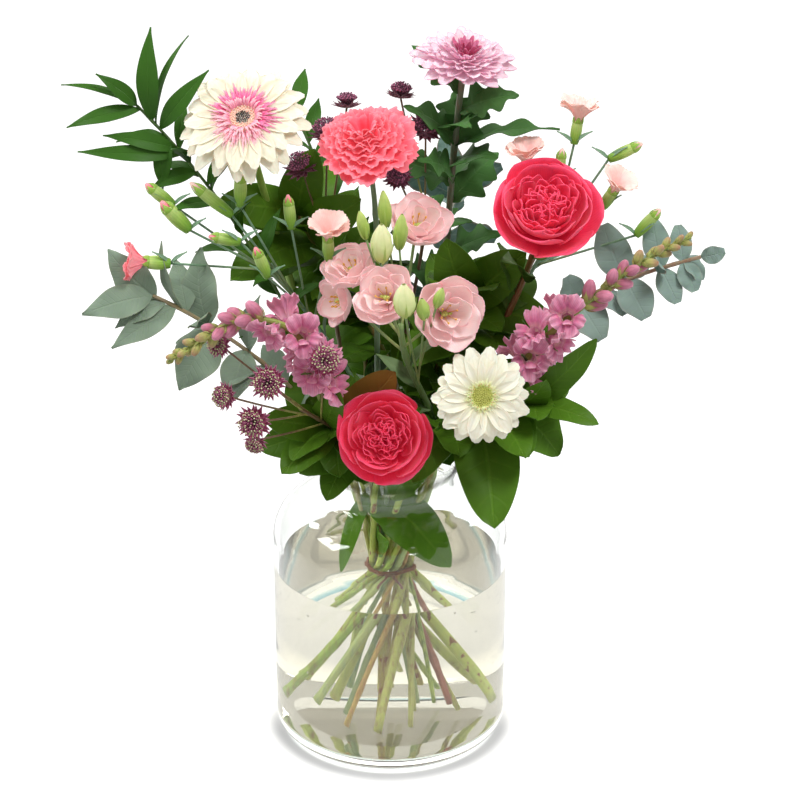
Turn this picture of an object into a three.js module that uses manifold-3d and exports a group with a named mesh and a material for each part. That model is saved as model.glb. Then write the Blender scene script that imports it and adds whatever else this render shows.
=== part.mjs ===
// A hand-tied bouquet of gerberas with mixed flowers and foliage, standing in a clear glass bottle
// that is filled with water. Millimetres, +Z up, the origin at the centre of the bottle's underside.
// The bouquet's front faces -Y.
import * as THREE from "three";
import { mergeVertices } from "three/addons/utils/BufferGeometryUtils.js";
import Module from "manifold-3d";

const wasm = await Module();
wasm.setup();

// ---------------------------------------------------------------- driving dimensions
const GAP = 0.3; // clearance left between pieces that touch
const SEAT = 0.4; // clearance under a bloom that sits on its stem
const BLADE = 0.8; // thickness of petals and leaves
const SMOOTH = 0.2; // a joined piece may lose edges that move its surface by less than this
const TRIM = 0.02; // the same for a piece that has been cut clear of its neighbours
const BOTTLE = {
  radius: 87.5, wall: 3.5, floor: 8, footRound: 10, shoulderFrom: 158, shoulderTo: 193,
  neckRadius: 46.5, rimRadius: 57, height: 226, sides: 24,
};
const WATER_LEVEL = 136;
const WAIST = { height: 126, radius: 18 }; // where the stems are tied
// Sideways lean of a stem per mm from the bundle's middle and per mm of height.
const SWIRL = { below: 0.036, above: 0.026 };
const NECK_HEIGHT = 196; // a stem runs straight up to here
const TIE = { band: 8, thick: 3, sides: 16 };
const ROOT = 0.5; // half the width of a leaf where it grows from its stem, or less at its tip
const TWIG = 0.75; // radius of the side twigs
const FOOT = { lowest: 13, spread: 24 }; // heights of the cut stem ends over the table

const V = (x, y, z) => new THREE.Vector3(x, y, z);
const vec = (list) => V(...list);
const rad = THREE.MathUtils.degToRad;
const GOLDEN = Math.PI * (3 - Math.sqrt(5));

// A repeatable draw between -1 and 1 for the nth of something.
function draw(n, salt = 0) {
  const s = Math.sin(n * 12.9898 + salt * 78.233) * 43758.5453;
  return 2 * (s - Math.floor(s)) - 1;
}

// ---------------------------------------------------------------- solids
function signedVolume(positions, index) {
  let sum = 0;
  const [a, b, c] = [V(), V(), V()];
  for (let i = 0; i < index.length; i += 3) {
    a.fromArray(positions, 3 * index[i]);
    b.fromArray(positions, 3 * index[i + 1]);
    c.fromArray(positions, 3 * index[i + 2]);
    sum += a.dot(b.cross(c));
  }
  return sum;
}

function toSolid(geometry) {
  geometry.deleteAttribute("normal");
  geometry.deleteAttribute("uv");
  const merged = mergeVertices(geometry, 1e-4);
  const vertProperties = new Float32Array(merged.attributes.position.array);
  const triVerts = new Uint32Array(merged.index.array);
  if (signedVolume(vertProperties, triVerts) < 0) triVerts.reverse();
  return new wasm.Manifold(new wasm.Mesh({ numProp: 3, vertProperties, triVerts }));
}

function toGeometry(solid) {
  const mesh = solid.getMesh();
  const positions = new Float32Array(mesh.numVert * 3);
  for (let i = 0; i < mesh.numVert; i++) {
    positions.set(mesh.vertProperties.subarray(i * mesh.numProp, i * mesh.numProp + 3), i * 3);
  }
  return new THREE.BufferGeometry()
    .setAttribute("position", new THREE.BufferAttribute(positions, 3))
    .setIndex(new THREE.BufferAttribute(mesh.triVerts, 1));
}

const union = (solids) => wasm.Manifold.union(solids);

// A closed skin over rings that all have the same even number of points. The second half of each
// ring is split into triangles the way the first half is, so that a thin blade's faces match.
function skin(rings) {
  const n = rings[0].length;
  const half = n / 2;
  const index = [];
  for (let j = 0; j + 1 < rings.length; j++) {
    for (let i = 0; i < n; i++) {
      const a = j * n + i;
      const b = j * n + ((i + 1) % n);
      if (i < half) index.push(a, b, b + n, a, b + n, a + n);
      else index.push(a, b, a + n, b, b + n, a + n);
    }
  }
  const last = (rings.length - 1) * n;
  for (let i = 0; i + 1 < half; i++) {
    const [a, b, c, d] = [i, i + 1, n - 2 - i, n - 1 - i];
    index.push(a, c, b, a, d, c, last + a, last + b, last + c, last + a, last + c, last + d);
  }
  const geometry = new THREE.BufferGeometry();
  const positions = rings.flat().flatMap((p) => p.toArray());
  geometry.setAttribute("position", new THREE.Float32BufferAttribute(positions, 3));
  return toSolid(geometry.setIndex(index));
}

// A round piece along a line of points, with a radius at each point, m thicker and longer all round.
function rod(points, radii, m = 0, sides = 6) {
  const line = points.map((p) => p.clone());
  line[0].addScaledVector(V().subVectors(line[0], line[1]).normalize(), m);
  const end = line.length - 1;
  line[end].addScaledVector(V().subVectors(line[end], line[end - 1]).normalize(), m);
  let side = V(1, 0, 0);
  const rings = line.map((p, i) => {
    const along = V().subVectors(line[Math.min(i + 1, end)], line[Math.max(i - 1, 0)]).normalize();
    if (Math.abs(side.dot(along)) > 0.95) side = V(0, 1, 0);
    side = side.clone().addScaledVector(along, -side.dot(along)).normalize();
    const other = V().crossVectors(along, side);
    const radius = (Array.isArray(radii) ? radii[i] : radii) + m;
    return Array.from({ length: sides }, (_, k) => {
      const angle = (2 * Math.PI * k) / sides;
      const [x, y] = [radius * Math.cos(angle), radius * Math.sin(angle)];
      return p.clone().addScaledVector(side, x).addScaledVector(other, y);
    });
  });
  return skin(rings);
}

// A thin closed blade whose middle surface is at(u, v), u from root to tip and v from -1 to 1.
function blade(at, rows, columns, m = 0, thick = BLADE) {
  const [reach, spread, step] = [1 + m / 25, 1 + m / 7, 0.02];
  const rings = [];
  for (let j = 0; j <= rows; j++) {
    const top = [];
    const bottom = [];
    for (let i = 0; i <= columns; i++) {
      const u = (reach * j) / rows;
      const v = spread * ((2 * i) / columns - 1);
      const p = at(u, v);
      const along = V().subVectors(at(u + step, v), at(u - step, v));
      const across = V().subVectors(at(u, v + step), at(u, v - step));
      const normal = V().crossVectors(along, across).normalize().multiplyScalar(thick / 2 + m);
      top.push(p.clone().add(normal));
      bottom.unshift(p.clone().sub(normal));
    }
    rings.push([...top, ...bottom]);
  }
  return skin(rings);
}

// ---------------------------------------------------------------- lines and frames
const bezier = (a, b, c, d) => (t) =>
  a.clone().multiplyScalar((1 - t) ** 3)
    .addScaledVector(b, 3 * t * (1 - t) ** 2)
    .addScaledVector(c, 3 * t * t * (1 - t))
    .addScaledVector(d, t ** 3);

const samples = (curve, count) => Array.from({ length: count + 1 }, (_, i) => curve(i / count));

// A direction square to along and turned about it; hint fixes where the turn starts.
function sideways(along, hint, turn) {
  const side = hint.cross(along).normalize();
  const other = V().crossVectors(along, side);
  return side.multiplyScalar(Math.cos(turn)).addScaledVector(other, Math.sin(turn));
}

// A straight twig from a to b.
function twig(a, b, m) {
  return rod([a, b], TWIG, m, 4);
}

// The frame of a flower: its own +Z is the way it faces.
function facing(at, faces) {
  const z = vec(faces).normalize();
  const x = V(0, 0, 1).cross(z);
  if (x.length() < 1e-3) x.set(1, 0, 0);
  x.normalize();
  return new THREE.Matrix4().makeBasis(x, V().crossVectors(z, x), z).setPosition(vec(at));
}

// ---------------------------------------------------------------- petals and leaves
const POINTED = (u) => Math.sin(Math.PI * Math.min(1, Math.max(0, u)) ** 0.8);
const ROUND = (u) => Math.sin(Math.PI * 0.88 * Math.max(0, u) ** 0.9);

// A leaf from root to tip. up is the way its face looks, arch lifts its middle and fold raises its sides.
function leaf({ root, tip, width, up, arch = 0, fold = 0.2, shape = POINTED }) {
  const [a, b] = [vec(root), vec(tip)];
  const along = b.clone().sub(a).normalize();
  const side = V().crossVectors(along, vec(up)).normalize();
  const normal = V().crossVectors(side, along);
  const middle = a.clone().lerp(b, 0.5).addScaledVector(normal, 2 * arch);
  return (u, v) => {
    const half = Math.max(ROOT, (width / 2) * shape(u));
    const rib = a.clone().multiplyScalar((1 - u) ** 2).addScaledVector(middle, 2 * u * (1 - u));
    rib.addScaledVector(b, u * u);
    return rib.addScaledVector(side, half * v).addScaledVector(normal, half * fold * Math.abs(v));
  };
}

// ---------------------------------------------------------------- the plants
// Where each head is and the way it faces; how far the stem's end lies behind it; the stem's radius;
// and, of a big bloom, the radius that other stems keep out of.
const STEMS = {
  gerbera_cream: { head: [-100, -30, 494], faces: [-0.1, -0.62, 0.78], depth: 13, radius: 3.2, bloom: 26 },
  gerbera_white: { head: [63, -125, 329], faces: [0.08, -0.9, 0.43], depth: 11, radius: 2.6, bloom: 22 },
  carnation: { head: [-16, -40, 483], faces: [-0.1, -0.45, 0.89], depth: 38, radius: 2.3, bloom: 30 },
  chrysanthemum: { head: [53, 0, 529], faces: [0.12, -0.2, 0.97], depth: 14, radius: 2.8, bloom: 28 },
  rose_high: { head: [106, -70, 444], faces: [0.05, -0.62, 0.78], depth: 26, radius: 2.7, bloom: 32 },
  rose_low: { head: [-3, -110, 291], faces: [-0.1, -0.85, 0.5], depth: 23.4, radius: 2.4, bloom: 28 },
  lisianthus: { head: [8, -78, 362], faces: [0, -0.1, 1], depth: 0, radius: 2.6 },
  snapdragon_left: { head: [-49, -92, 318], faces: [-0.2, -0.2, 1], depth: 0, radius: 2.8 },
  snapdragon_right: { head: [88, -78, 322], faces: [0.6, -0.1, 0.8], depth: 0, radius: 2.8 },
  astrantia_front: { head: [-62, -92, 304], faces: [-0.6, -0.5, 0.6], depth: 0, radius: 1.7 },
  astrantia_left: { head: [-48, 12, 398], faces: [-0.1, 0, 1], depth: 0, radius: 1.6 },
  astrantia_right: { head: [26, 22, 412], faces: [0, 0, 1], depth: 0, radius: 1.6 },
  dianthus_left: { head: [-84, -22, 384], faces: [-0.5, 0, 0.8], depth: 0, radius: 1.8 },
  dianthus_right: { head: [119, -12, 414], faces: [0.3, 0, 0.9], depth: 0, radius: 1.8 },
  eucalyptus_left: { head: [-165, -55, 374], faces: [-0.9, -0.1, 0.5], depth: 0, radius: 1.7 },
  eucalyptus_right: { head: [218, -38, 396], faces: [0.9, 0, 0.25], depth: 0, radius: 1.7 },
  eucalyptus_back: { head: [50, 120, 400], faces: [0.1, 0.6, 0.7], depth: 0, radius: 1.7 },
  ruscus_left: { head: [-175, -8, 497], faces: [-0.6, 0.1, 0.6], depth: 0, radius: 1.3 },
  ruscus_back: { head: [-70, 100, 455], faces: [-0.4, 0.3, 0.8], depth: 0, radius: 1.3 },
  salal_right: { head: [98, -66, 296], faces: [0.8, -0.3, 0.4], depth: 0, radius: 2 },
  salal_left: { head: [-44, -62, 276], faces: [-0.6, -0.6, 0.5], depth: 0, radius: 2 },
  salal_upper: { head: [-66, 26, 402], faces: [-0.4, -0.1, 0.9], depth: 0, radius: 2 },
  salal_middle: { head: [58, -8, 350], faces: [0.3, 0, 0.9], depth: 0, radius: 2 },
  salal_back: { head: [-22, 84, 330], faces: [-0.1, 0.7, 0.7], depth: 0, radius: 2 },
};

// The stems cross in a spiral at the tie. Each starts where its head's direction, turned back by the
// spiral, puts it, and they are then squeezed together and pushed apart until they lie side by side.
function packBundle(stems) {
  const rise = BOTTLE.height - WAIST.height;
  const turn = -Math.atan(SWIRL.above * rise);
  const [pull, squeeze, slack] = [0.06, 0.97, 2.2];
  const list = Object.values(stems);
  for (const s of list) {
    const p = new THREE.Vector2(s.head[0], s.head[1]).multiplyScalar(pull);
    s.slot = p.rotateAround(new THREE.Vector2(), turn);
  }
  for (let round = 0; round < 400; round++) {
    for (const s of list) s.slot.multiplyScalar(squeeze);
    list.forEach((a, i) => list.slice(i + 1).forEach((b) => {
      const apart = b.slot.clone().sub(a.slot);
      const want = a.radius + b.radius + slack;
      const push = (want - apart.length()) / 2;
      if (push <= 0) return;
      apart.normalize().multiplyScalar(push);
      a.slot.sub(apart);
      b.slot.add(apart);
    }));
    for (const s of list) s.slot.clampLength(0, WAIST.radius - s.radius);
  }
}
packBundle(STEMS);

// Above the neck the stems bow a little so that they pass one another, and the big blooms, clear.
function clearStems(stems) {
  const list = Object.values(stems);
  for (const s of list) s.bow = V();
  const count = 24;
  for (let round = 0; round < 150; round++) {
    const lines = list.map((s) => samples(freeCurve(s), count));
    list.forEach((a, i) => {
      for (const s of list) {
        if (s === a || !s.bloom) continue;
        const centre = vec(s.head).addScaledVector(vec(s.faces).normalize(), -s.depth * 0.4);
        lines[i].forEach((p, k) => {
          const out = p.clone().sub(centre);
          const push = s.bloom + a.radius - out.length();
          if (push > 0 && k < 0.9 * count) a.bow.addScaledVector(out.normalize(), push * 0.12);
        });
      }
      list.slice(i + 1).forEach((b, j) => {
        const want = a.radius + b.radius + 4 * GAP;
        let [near, gap] = [null, want];
        lines[i].forEach((p) => lines[i + 1 + j].forEach((q) => {
          const d = p.distanceTo(q);
          if (d < gap) [near, gap] = [q.clone().sub(p), d];
        }));
        if (!near) return;
        near.normalize().multiplyScalar(0.6 * (want - gap));
        a.bow.sub(near);
        b.bow.add(near);
      });
    });
  }
}

// A point of a stem inside the bottle, at height z.
function bundlePoint(stem, z) {
  const t = (z - WAIST.height) * (z < WAIST.height ? SWIRL.below : SWIRL.above);
  return V(stem.slot.x - t * stem.slot.y, stem.slot.y + t * stem.slot.x, z);
}

const headFrame = (stem) => facing(stem.head, stem.faces);
const neckOf = (stem) => vec(stem.head).addScaledVector(vec(stem.faces).normalize(), -stem.depth);

// The free part of a stem, from the bottle's neck to the back of its head, as a curve from 0 to 1.
function freeCurve(stem) {
  const from = bundlePoint(stem, NECK_HEIGHT);
  const start = from.clone().sub(bundlePoint(stem, NECK_HEIGHT - 1)).normalize();
  const to = neckOf(stem);
  const reach = from.distanceTo(to);
  return bezier(from, from.clone().addScaledVector(start, reach * 0.4).add(stem.bow),
    to.clone().addScaledVector(vec(stem.faces).normalize(), -reach * 0.3).addScaledVector(stem.bow, 0.5), to);
}

clearStems(STEMS);

// A place on the free part of a stem as it is built, in straight stretches; t runs from 0 to 1.
const STRETCHES = 4;
function stemPoint(stem, t) {
  const curve = freeCurve(stem);
  const k = Math.min(STRETCHES - 1, Math.floor(t * STRETCHES));
  return curve(k / STRETCHES).lerp(curve((k + 1) / STRETCHES), t * STRETCHES - k);
}

function stemWay(stem, t) {
  return stemPoint(stem, Math.min(1, t + 0.02)).sub(stemPoint(stem, t - 0.02)).normalize();
}

function stemRod(stem, m) {
  const order = Object.values(STEMS).indexOf(stem);
  const foot = FOOT.lowest + FOOT.spread * (0.5 + 0.5 * draw(order, 1));
  const low = [bundlePoint(stem, foot), bundlePoint(stem, WAIST.height)];
  const line = [...low, ...samples(freeCurve(stem), STRETCHES)];
  const slim = 0.8; // a stem is a little thinner at its head
  const radii = line.map((_, i) => stem.radius * (1 - (1 - slim) * (i / (line.length - 1))));
  return rod(line, radii, m, stem.radius < 2 ? 5 : 6);
}

// ---------------------------------------------------------------- the parts of a flower
// A turned piece about the flower's axis: profile holds [radius, height] pairs from its underside up.
function turned(matrix, profile, m, sides = 8) {
  const line = profile.map(([, z]) => V(0, 0, z).applyMatrix4(matrix));
  return rod(line, profile.map(([r]) => r), m, sides);
}

// Petals in their layers as one skin about the flower's axis. base is the [radius, height] of its
// underside. Each layer gives the tips of its petals, the notches between them and the valley inside
// it, with a belly where it is cupped and a turn in petals. crown is the middle's own outline.
const LOBE = { 2: [0, 1], 3: [0, 1, 1] };

function rosette(matrix, { count, points, base, layers, crown = [] }, m, scale = 1) {
  const line = ([r, z], [dr, dz], turn = 0, inner = [r, z]) =>
    Array.from({ length: count * points }, (_, i) => {
      const out = LOBE[points][i % points];
      const angle = (2 * Math.PI * (i / points + turn)) / count;
      const radius = scale * (inner[0] + (r - inner[0]) * out) + dr;
      const height = scale * (inner[1] + (z - inner[1]) * out) + dz;
      return V(radius * Math.cos(angle), radius * Math.sin(angle), height).applyMatrix4(matrix);
    });
  const rings = [line(base, [m, -m])];
  let from = base;
  for (const { tip, notch, valley, belly, turn } of layers) {
    const slope = Math.atan2(tip[1] - from[1], tip[0] - from[0]);
    const half = BLADE / 2 + m;
    const [inward, up] = [-half * Math.sin(slope), half * Math.cos(slope)];
    if (belly) rings.push(line(belly, [-inward, -up], turn));
    rings.push(line(tip, [m - inward, -up], turn, notch), line(tip, [m + inward, up], turn, notch));
    if (belly) rings.push(line(belly, [inward, up], turn));
    rings.push(line(valley, [0, m]));
    from = valley;
  }
  for (const end of crown) rings.push(line(end, [m, m]));
  return skin(rings);
}

// The ray petals lie in two layers, the upper one turned by half a petal.
const PETALS_BASE = -2.5;
const PETALS_TOP = 2.9;
function gerberaPetals(stem, { radius, hub, rays }, m) {
  const layers = [
    { tip: [radius, -5], notch: [radius * 0.5, 0.5], valley: [hub, 1.5] },
    { tip: [radius * 0.87, 3.2], notch: [radius * 0.48, 4], valley: [hub - 3, PETALS_TOP], turn: 0.5 },
  ];
  return [rosette(headFrame(stem), { count: rays, points: 3, base: [hub - 2, PETALS_BASE], layers }, m)];
}

// The heart: a round disc with a ring of short florets about it.
function gerberaHeart(stem, { disc, florets, reach }, m) {
  const seat = PETALS_TOP + SEAT;
  const layers = [
    { tip: [reach, seat + 3.6], notch: [disc * 1.1, seat + 1.8], valley: [disc * 0.95, seat + 2.4] },
  ];
  const crown = [[disc * 0.4, seat + 1.6]];
  return [rosette(headFrame(stem), { count: florets, points: 2, base: [disc, seat], layers, crown }, m)];
}

function gerberaStem(stem, m) {
  const f = headFrame(stem);
  const d = stem.depth;
  const bowl = [[stem.radius, -d - 1], [6.5, -d + 2.5], [8.5, PETALS_BASE - SEAT]];
  return [stemRod(stem, m), turned(f, bowl, m)];
}

function carnationBloom(stem, m) {
  const layers = [
    { tip: [40, -7], notch: [34, -2], valley: [5, -13] },
    { tip: [34, 5], notch: [29, 0], valley: [4.5, -10], turn: 0.5 },
    { tip: [25, 6], notch: [20, 11], valley: [4, -7] },
    { tip: [13, 15], notch: [9, 11], valley: [2.5, -3], turn: 0.5 },
  ];
  return [rosette(headFrame(stem), { count: 12, points: 2, base: [5, -18], layers }, m)];
}

function carnationStem(stem, m) {
  const f = headFrame(stem);
  const d = stem.depth;
  const cup = [[stem.radius, -d - 1], [5.2, -d + 3], [5.8, -d + 10], [7.2, -18]];
  return [stemRod(stem, m), turned(f, cup, m), ...stemLeaves(stem, [[0.45, 46, 5], [0.7, 38, 4]], m)];
}

function chrysanthemumBloom(stem, m) {
  const layers = [
    { tip: [39, -5], notch: [24, -3], valley: [9, -4] },
    { tip: [34, 2], notch: [20, 0.5], valley: [8, -1.5], turn: 0.5 },
    { tip: [27, 8], notch: [16, 4], valley: [7, 0.5] },
    { tip: [17, 13], notch: [10.5, 7], valley: [5, 2.5], turn: 0.5 },
    { tip: [7, 15], notch: [5, 9], valley: [1.5, 5] },
  ];
  return [rosette(headFrame(stem), { count: 12, points: 2, base: [8, -8], layers }, m)];
}

function chrysanthemumStem(stem, m) {
  const f = headFrame(stem);
  const d = stem.depth;
  const notched = (u) => POINTED(u) * (1 + 0.25 * Math.cos(u * 4 * Math.PI));
  const leaves = CHRYSANTHEMUM_LEAVES.map(([root, tip, width, up]) =>
    blade(leaf({ root: onStem(stem, root), tip, width, up, arch: 4, shape: notched }), 4, 1, m));
  return [stemRod(stem, m), turned(f, [[stem.radius, -d - 1], [5, -d + 2], [7.5, -8.4]], m, 6), ...leaves];
}

// A rose 37 mm in radius; a stem with a shallower head carries a smaller one.
const ROSE_DEPTH = 26;
const ROSE_BASE = 19;
function roseBloom(stem, m) {
  const layers = [
    { belly: [27, -9], tip: [37, 3], notch: [31, 0], valley: [6, -14] },
    { belly: [20, -5], tip: [28, 11], notch: [24, 8], valley: [5, -11], turn: 0.5 },
    { tip: [19, 14], notch: [15.5, 11], valley: [4, -6] },
    { tip: [10, 15], notch: [8, 12], valley: [2, 1], turn: 0.5 },
  ];
  const scale = stem.depth / ROSE_DEPTH;
  return [rosette(headFrame(stem), { count: 5, points: 3, base: [6, -ROSE_BASE], layers }, m, scale)];
}

function roseStem(stem, leaves, m) {
  const seat = -ROSE_BASE * (stem.depth / ROSE_DEPTH) - SEAT; // the bloom's underside
  const layers = [{ tip: [15, seat - 8], notch: [5.5, seat - 4], valley: [5, seat] }];
  const sepals = { count: 5, points: 2, base: [stem.radius, -stem.depth - 1], layers };
  return [stemRod(stem, m), rosette(headFrame(stem), sepals, m), ...stemLeaves(stem, leaves, m)];
}

// A lisianthus 22 mm in radius, scaled to the one given.
const LISIANTHUS_RADIUS = 22;
const LISIANTHUS_BASE = 15;
function lisianthusBloom({ at, faces, radius }, m) {
  const layers = [
    { belly: [14, -4], tip: [22, 3], notch: [17, 0], valley: [3.4, -10] },
    { tip: [15, 6], notch: [11, 3], valley: [2, -4], turn: 0.5 },
  ];
  const cup = { count: 4, points: 3, base: [3, -LISIANTHUS_BASE], layers };
  return [rosette(facing(at, faces), cup, m, radius / LISIANTHUS_RADIUS)];
}

// A bud, or a calyx with a blunt end, and the stalk that it grows on.
function bud({ from, to, radius, blunt = 0.3 }, root, m) {
  const [a, b] = [vec(from), vec(to)];
  return rod([root, a, a.clone().lerp(b, 0.5), b], [TWIG, TWIG, radius, blunt * radius], m, 4);
}

function lisianthusSpray(stem, m) {
  const twigs = LISIANTHUS_BLOOMS.map(({ at, faces, radius }, i) => {
    const n = vec(faces).normalize();
    const under = -(LISIANTHUS_BASE * radius) / LISIANTHUS_RADIUS - SEAT;
    return twig(stemPoint(stem, 0.97 - 0.03 * i), vec(at).addScaledVector(n, under), m);
  });
  const buds = LISIANTHUS_BUDS.map((b, i) => bud(b, stemPoint(stem, 0.6 + 0.03 * i), m));
  const leaves = [[0.3, 44, 13], [0.45, 42, 13], [0.75, 36, 10]];
  return [stemRod(stem, m), ...twigs, ...buds, ...stemLeaves(stem, leaves, m)];
}

// The flowering end of a snapdragon: open florets low on the spike, buds above them.
function snapdragonSpike(stem, spike, m) {
  const line = spike.line.map(vec);
  const curve = new THREE.CatmullRomCurve3([neckOf(stem), ...line]);
  const spine = { stretches: 5, from: 2.4, to: 1 };
  const radii = samples((t) => spine.from + (spine.to - spine.from) * t, spine.stretches);
  const parts = [stemRod(stem, m), rod(curve.getPoints(spine.stretches), radii, m)];
  const { florets, buds } = spike;
  for (let i = 0; i < florets + buds; i++) {
    const open = i < florets;
    const t = open ? 0.04 + (0.46 * i) / florets : 0.52 + (0.48 * (i - florets)) / buds;
    const at = curve.getPoint(t);
    const along = curve.getTangent(t);
    const out = sideways(along, V(0.3, 1, 0.2), i * GOLDEN);
    const lean = out.addScaledVector(along, open ? 0.45 : 0.8).normalize();
    if (open) parts.push(snapdragonFloret(facing(at.toArray(), lean.toArray()), 1.15 - 0.25 * t, m));
    else {
      const size = 1.35 - t;
      const tip = at.clone().addScaledVector(lean, 16 * size);
      parts.push(rod([at, at.clone().lerp(tip, 0.55), tip], [0.8, 5.2 * size, 1.6 * size], m, 4));
    }
  }
  return parts;
}

function snapdragonFloret(f, scale, m) {
  const layers = [{ tip: [14, 20], notch: [7, 16], valley: [2.6, 12] }];
  return rosette(f, { count: 4, points: 2, base: [0.8, 0], layers }, m, scale);
}

// An astrantia head: a ruff of pointed bracts under a dense dome of tiny flowers.
function astrantiaHead({ at, faces, radius }, m) {
  const layers = [{ tip: [14, 1], notch: [8.5, -0.5], valley: [6.5, 4] }];
  return rosette(facing(at, faces), { count: 5, points: 2, base: [3, -4], layers }, m, radius / 14);
}

function astrantiaSpray(stem, heads, m) {
  return [stemRod(stem, m), ...heads.flatMap((h, i) => {
    const under = vec(h.at).addScaledVector(vec(h.faces).normalize(), -2);
    return [astrantiaHead(h, m), twig(stemPoint(stem, 0.97 - 0.04 * i), under, m)];
  })];
}

// A spray pink: a long green calyx with a flat flower of five petals, or a closed bud.
function dianthusHead({ from, to, open = 0, radius = 4 }, root, m) {
  if (!open) return [bud({ from, to, radius }, root, m)];
  const layers = [{ tip: [1, 0.24], notch: [0.72, 0.3], valley: [0.12, 0.02] }];
  const flower = { count: 5, points: 2, base: [0.14, -0.2], layers };
  const faces = vec(to).sub(vec(from)).toArray();
  return [bud({ from, to, radius, blunt: 0.9 }, root, m), rosette(facing(to, faces), flower, m, open)];
}

function dianthusSpray(stem, heads, m) {
  return [stemRod(stem, m), ...stemLeaves(stem, [[0.35, 44, 5], [0.65, 40, 5]], m),
    ...heads.flatMap((h, i) => dianthusHead(h, stemPoint(stem, 0.97 - 0.03 * i), m))];
}

// Plain leaves set round a stem: [share of the free part, length, width] each.
function stemLeaves(stem, list, m) {
  return list.map(([t, length, width], i) => {
    const along = stemWay(stem, t);
    const out = sideways(along, V(0.2, 1, 0.3), i * GOLDEN + stem.head[0]);
    const root = stemPoint(stem, t);
    const tip = root.clone().addScaledVector(out.addScaledVector(along, 0.8).normalize(), length);
    const way = { root: root.toArray(), tip: tip.toArray(), up: along.toArray() };
    return blade(leaf({ ...way, width, arch: length * 0.12 }), 2, 1, m);
  });
}

// The place on a stem that lies nearest to a point.
function onStem(stem, point) {
  const line = samples((t) => stemPoint(stem, t), 40);
  line.push(bundlePoint(stem, 175), bundlePoint(stem, 150));
  const at = vec(point);
  return line.reduce((best, p) => (p.distanceTo(at) < best.distanceTo(at) ? p : best)).toArray();
}

function leafySpray(stem, leaves, m, { rows = 3, columns = 2, shape = POINTED, arch = 0.1 } = {}) {
  return [stemRod(stem, m), ...leaves.map(([root, tip, width, up]) => {
    const length = vec(root).distanceTo(vec(tip));
    const at = leaf({ root: onStem(stem, root), tip, width, up, arch: arch * length, shape });
    return blade(at, rows, columns, m);
  })];
}

// ---------------------------------------------------------------- where the smaller pieces are
const GERBERA = {
  cream: { radius: 46, hub: 16, rays: 14, disc: 13, florets: 15, reach: 23 },
  white: { radius: 34, hub: 12, rays: 12, disc: 9, florets: 12, reach: 13 },
};
const CHRYSANTHEMUM_LEAVES = [
  [[46, -2, 458], [10, -18, 500], 24, [0.3, -0.6, 0.7]],
  [[48, 0, 456], [66, 14, 502], 30, [0, -1, 0.2]],
  [[48, -2, 452], [118, -22, 484], 22, [-0.3, -0.1, 1]],
  [[45, 0, 430], [20, -22, 462], 22, [0, -0.8, 0.6]],
  [[44, 6, 424], [70, 34, 448], 24, [0, 0.2, 1]],
];
const LISIANTHUS_BLOOMS = [
  { name: "a", at: [21, -60, 432], faces: [0.2, -0.5, 0.84], radius: 21 },
  { name: "b", at: [-27, -70, 403], faces: [-0.35, -0.35, 0.87], radius: 19 },
  { name: "c", at: [-4, -99, 393], faces: [-0.25, -0.75, 0.6], radius: 21 },
  { name: "d", at: [41, -104, 381], faces: [0.3, -0.88, 0.35], radius: 24 },
  { name: "e", at: [-38, -66, 374], faces: [-0.7, -0.5, 0.1], radius: 16 },
];
const LISIANTHUS_BUDS = [
  { from: [11, -124, 389], to: [10, -130, 414], radius: 7.5 },
  { from: [24, -122, 386], to: [22, -126, 402], radius: 4.5 },
  { from: [32, -118, 393], to: [36, -122, 408], radius: 3.6 },
  { from: [-5, -84, 412], to: [-5, -90, 441], radius: 7.5 },
  { from: [7, -80, 420], to: [9, -84, 446], radius: 5 },
  { from: [-16, -76, 426], to: [-20, -78, 446], radius: 4 },
  { from: [-2, -66, 430], to: [-4, -66, 456], radius: 4.6 },
];
const SPIKE_LEFT = {
  line: [[-52, -100, 345], [-71, -108, 374], [-101, -112, 380], [-128, -116, 366], [-150, -118, 352]],
  florets: 5, buds: 7,
};
const SPIKE_RIGHT = {
  line: [[100, -82, 345], [118, -88, 366], [150, -90, 396], [180, -88, 418], [205, -86, 430]],
  florets: 5, buds: 7,
};
const ASTRANTIA_FRONT = [
  { at: [-82, -128, 341], faces: [-0.1, -0.9, 0.35], radius: 14 },
  { at: [-92, -132, 313], faces: [-0.25, -0.9, 0.2], radius: 14 },
  { at: [-112, -118, 326], faces: [-0.6, -0.7, 0.3], radius: 11 },
  { at: [-116, -104, 358], faces: [-0.4, -0.8, 0.4], radius: 10 },
  { at: [-44, -126, 356], faces: [0.2, -0.75, 0.6], radius: 14 },
  { at: [-92, -120, 292], faces: [-0.2, -0.8, -0.3], radius: 9 },
];
const ASTRANTIA_LEFT = [
  { at: [-62, 2, 448], faces: [-0.3, -0.4, 0.9], radius: 14 },
  { at: [-44, 12, 470], faces: [-0.2, -0.1, 1], radius: 14 },
  { at: [-30, 20, 488], faces: [0, 0.2, 1], radius: 11 },
];
const ASTRANTIA_RIGHT = [
  { at: [8, 22, 495], faces: [0.1, 0, 1], radius: 11 },
  { at: [26, 12, 474], faces: [0.2, -0.5, 0.8], radius: 15 },
  { at: [6, -4, 443], faces: [-0.1, -0.7, 0.7], radius: 12 },
];
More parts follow.
